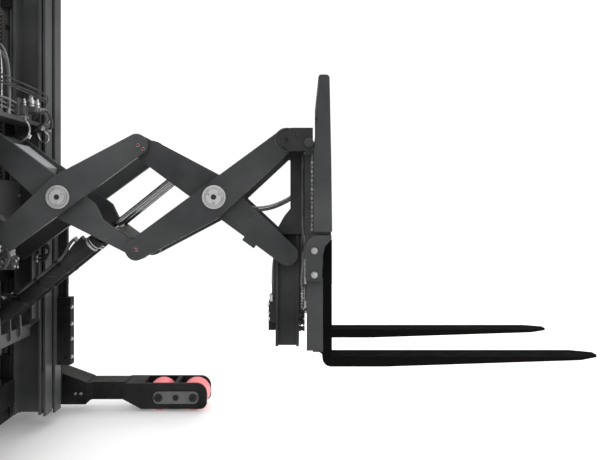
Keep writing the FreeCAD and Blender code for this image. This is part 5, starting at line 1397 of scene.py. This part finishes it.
cushion.data.materials.append(finishes["pad_vinyl"])
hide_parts("side_pad")
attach(cushion, "root")

seamLook = {"inset": 8.5, "corner": 28, "piping": 2.6, "thread": 0.7, "stitch": 0.0045, "every": 0.0075}
piping = Shape("cushion_piping", "root", "pad_vinyl")
stitches = Shape("cushion_stitches", "root", "hose_grey")
inset = Vector((seamLook["inset"], 0, seamLook["inset"])) * mm
edge = [Vector((x, padHigh.y - 0.012, z))
        for x, z in roundCorners(padLow + inset, padHigh - inset, seamLook["corner"] * mm, 4)]
piping.pipe(edge + edge[:1], seamLook["piping"], 10, smooth=False)
for height in sewn:
    x = padLow.x + 0.030
    while x < padHigh.x - 0.034:
        ends = [Vector((x + step, padHigh.y - 0.0098, height)) for step in (0, seamLook["stitch"])]
        stitches.pipe(ends, seamLook["thread"], 6, smooth=False)
        x += seamLook["every"]
addPieces("side pad")


# Camera: on the truck's right side, level, at the height and distance of a standing viewer's chest.
viewLook = {"aheadOfMast": 1.268, "height": 1.114, "distance": 2.352, "focal": 522, "middle": (305, 205)}
imageWide, imageHigh = 600, 460
camera = linked(bpy.data.objects.new("camera", bpy.data.cameras.new("camera")))
camera.location = (mastFace + viewLook["aheadOfMast"], -viewLook["distance"], viewLook["height"])
camera.rotation_euler = (math.radians(90), 0, 0)
camera.data.sensor_width = 36
camera.data.lens = viewLook["focal"] * camera.data.sensor_width / imageWide
camera.data.shift_x = (imageWide / 2 - viewLook["middle"][0]) / imageWide
camera.data.shift_y = (viewLook["middle"][1] - imageHigh / 2) / imageWide
bpy.context.scene.camera = camera


def addLight(name, place, aim, size, power, glossy):
    data = bpy.data.lights.new(name, "AREA")
    data.shape = "RECTANGLE"
    data.size, data.size_y = size
    data.energy = power
    light = linked(bpy.data.objects.new(name, data))
    light.location = place
    light.visible_camera = False
    light.visible_glossy = glossy
    light.rotation_euler = (Vector(aim) - Vector(place)).to_track_quat("-Z", "Y").to_euler()


floorShader = Shader("studioFloor")
floorMottle = floorShader.noise(1.5, 2).ramp(0.3, 0.7)
floorColour = floorShader.blendColours(floorMottle, grey(0.86), grey(0.88))
floorMesh = bpy.data.meshes.new("studio_floor")
floorMesh.from_pydata([(-5, -5, 0), (5, -5, 0), (5, 5, 0), (-5, 5, 0)], [], [(0, 1, 2, 3)])
floorMesh.materials.append(floorShader.finish(colour=floorColour, rough=0.7, specular=0.1, glow=white,
                                              glowStrength=0.16))
linked(bpy.data.objects.new("studio_floor", floorMesh))

# The backdrop is white to the camera, and the room that lights the truck is a softer grey.
roomLook = {"backdrop": 1.05, "room": 0.36, "sky": 2.1, "skySpread": 100}
world = bpy.data.worlds.new("studio")
bpy.context.scene.world = world
world.use_nodes = True
room = world.node_tree.nodes["Background"]
room.inputs["Color"].default_value = white
seen = world.node_tree.nodes.new("ShaderNodeLightPath").outputs["Is Camera Ray"]
strength = world.node_tree.nodes.new("ShaderNodeMapRange")
strength.inputs["To Min"].default_value = roomLook["room"]
strength.inputs["To Max"].default_value = roomLook["backdrop"]
world.node_tree.links.new(seen, strength.inputs["Value"])
world.node_tree.links.new(strength.outputs["Result"], room.inputs["Strength"])
# each light's place, the point it looks at, its size, its power and whether it shows in shiny faces
lightLook = {"backdropLight": ((0.5, 5.0, 2.2), (0.5, 0, 1.2), (11, 4.5), 300, False),
             "frontLight": ((9.5, -2.5, 3.4), (0.0, 0, 1.0), (4, 4), 300, True),
             "keyLight": ((-0.6, -5.2, 4.2), (0.0, 0, 0.9), (4, 2.5), 54, True),
             "rearLight": ((-5.5, -3.0, 3.4), (-1.0, 0, 1.0), (3, 3), 90, True)}
for name, values in lightLook.items():
    addLight(name, *values)
sky = bpy.data.lights.new("overhead", "SUN")
sky.energy = roomLook["sky"]
sky.angle = math.radians(roomLook["skySpread"])
overhead = linked(bpy.data.objects.new("overhead", sky))
overhead.rotation_euler = (math.radians(12), math.radians(8), 0)
bpy.context.scene.view_settings.view_transform = "Standard"
print("camera, floor and lights set")
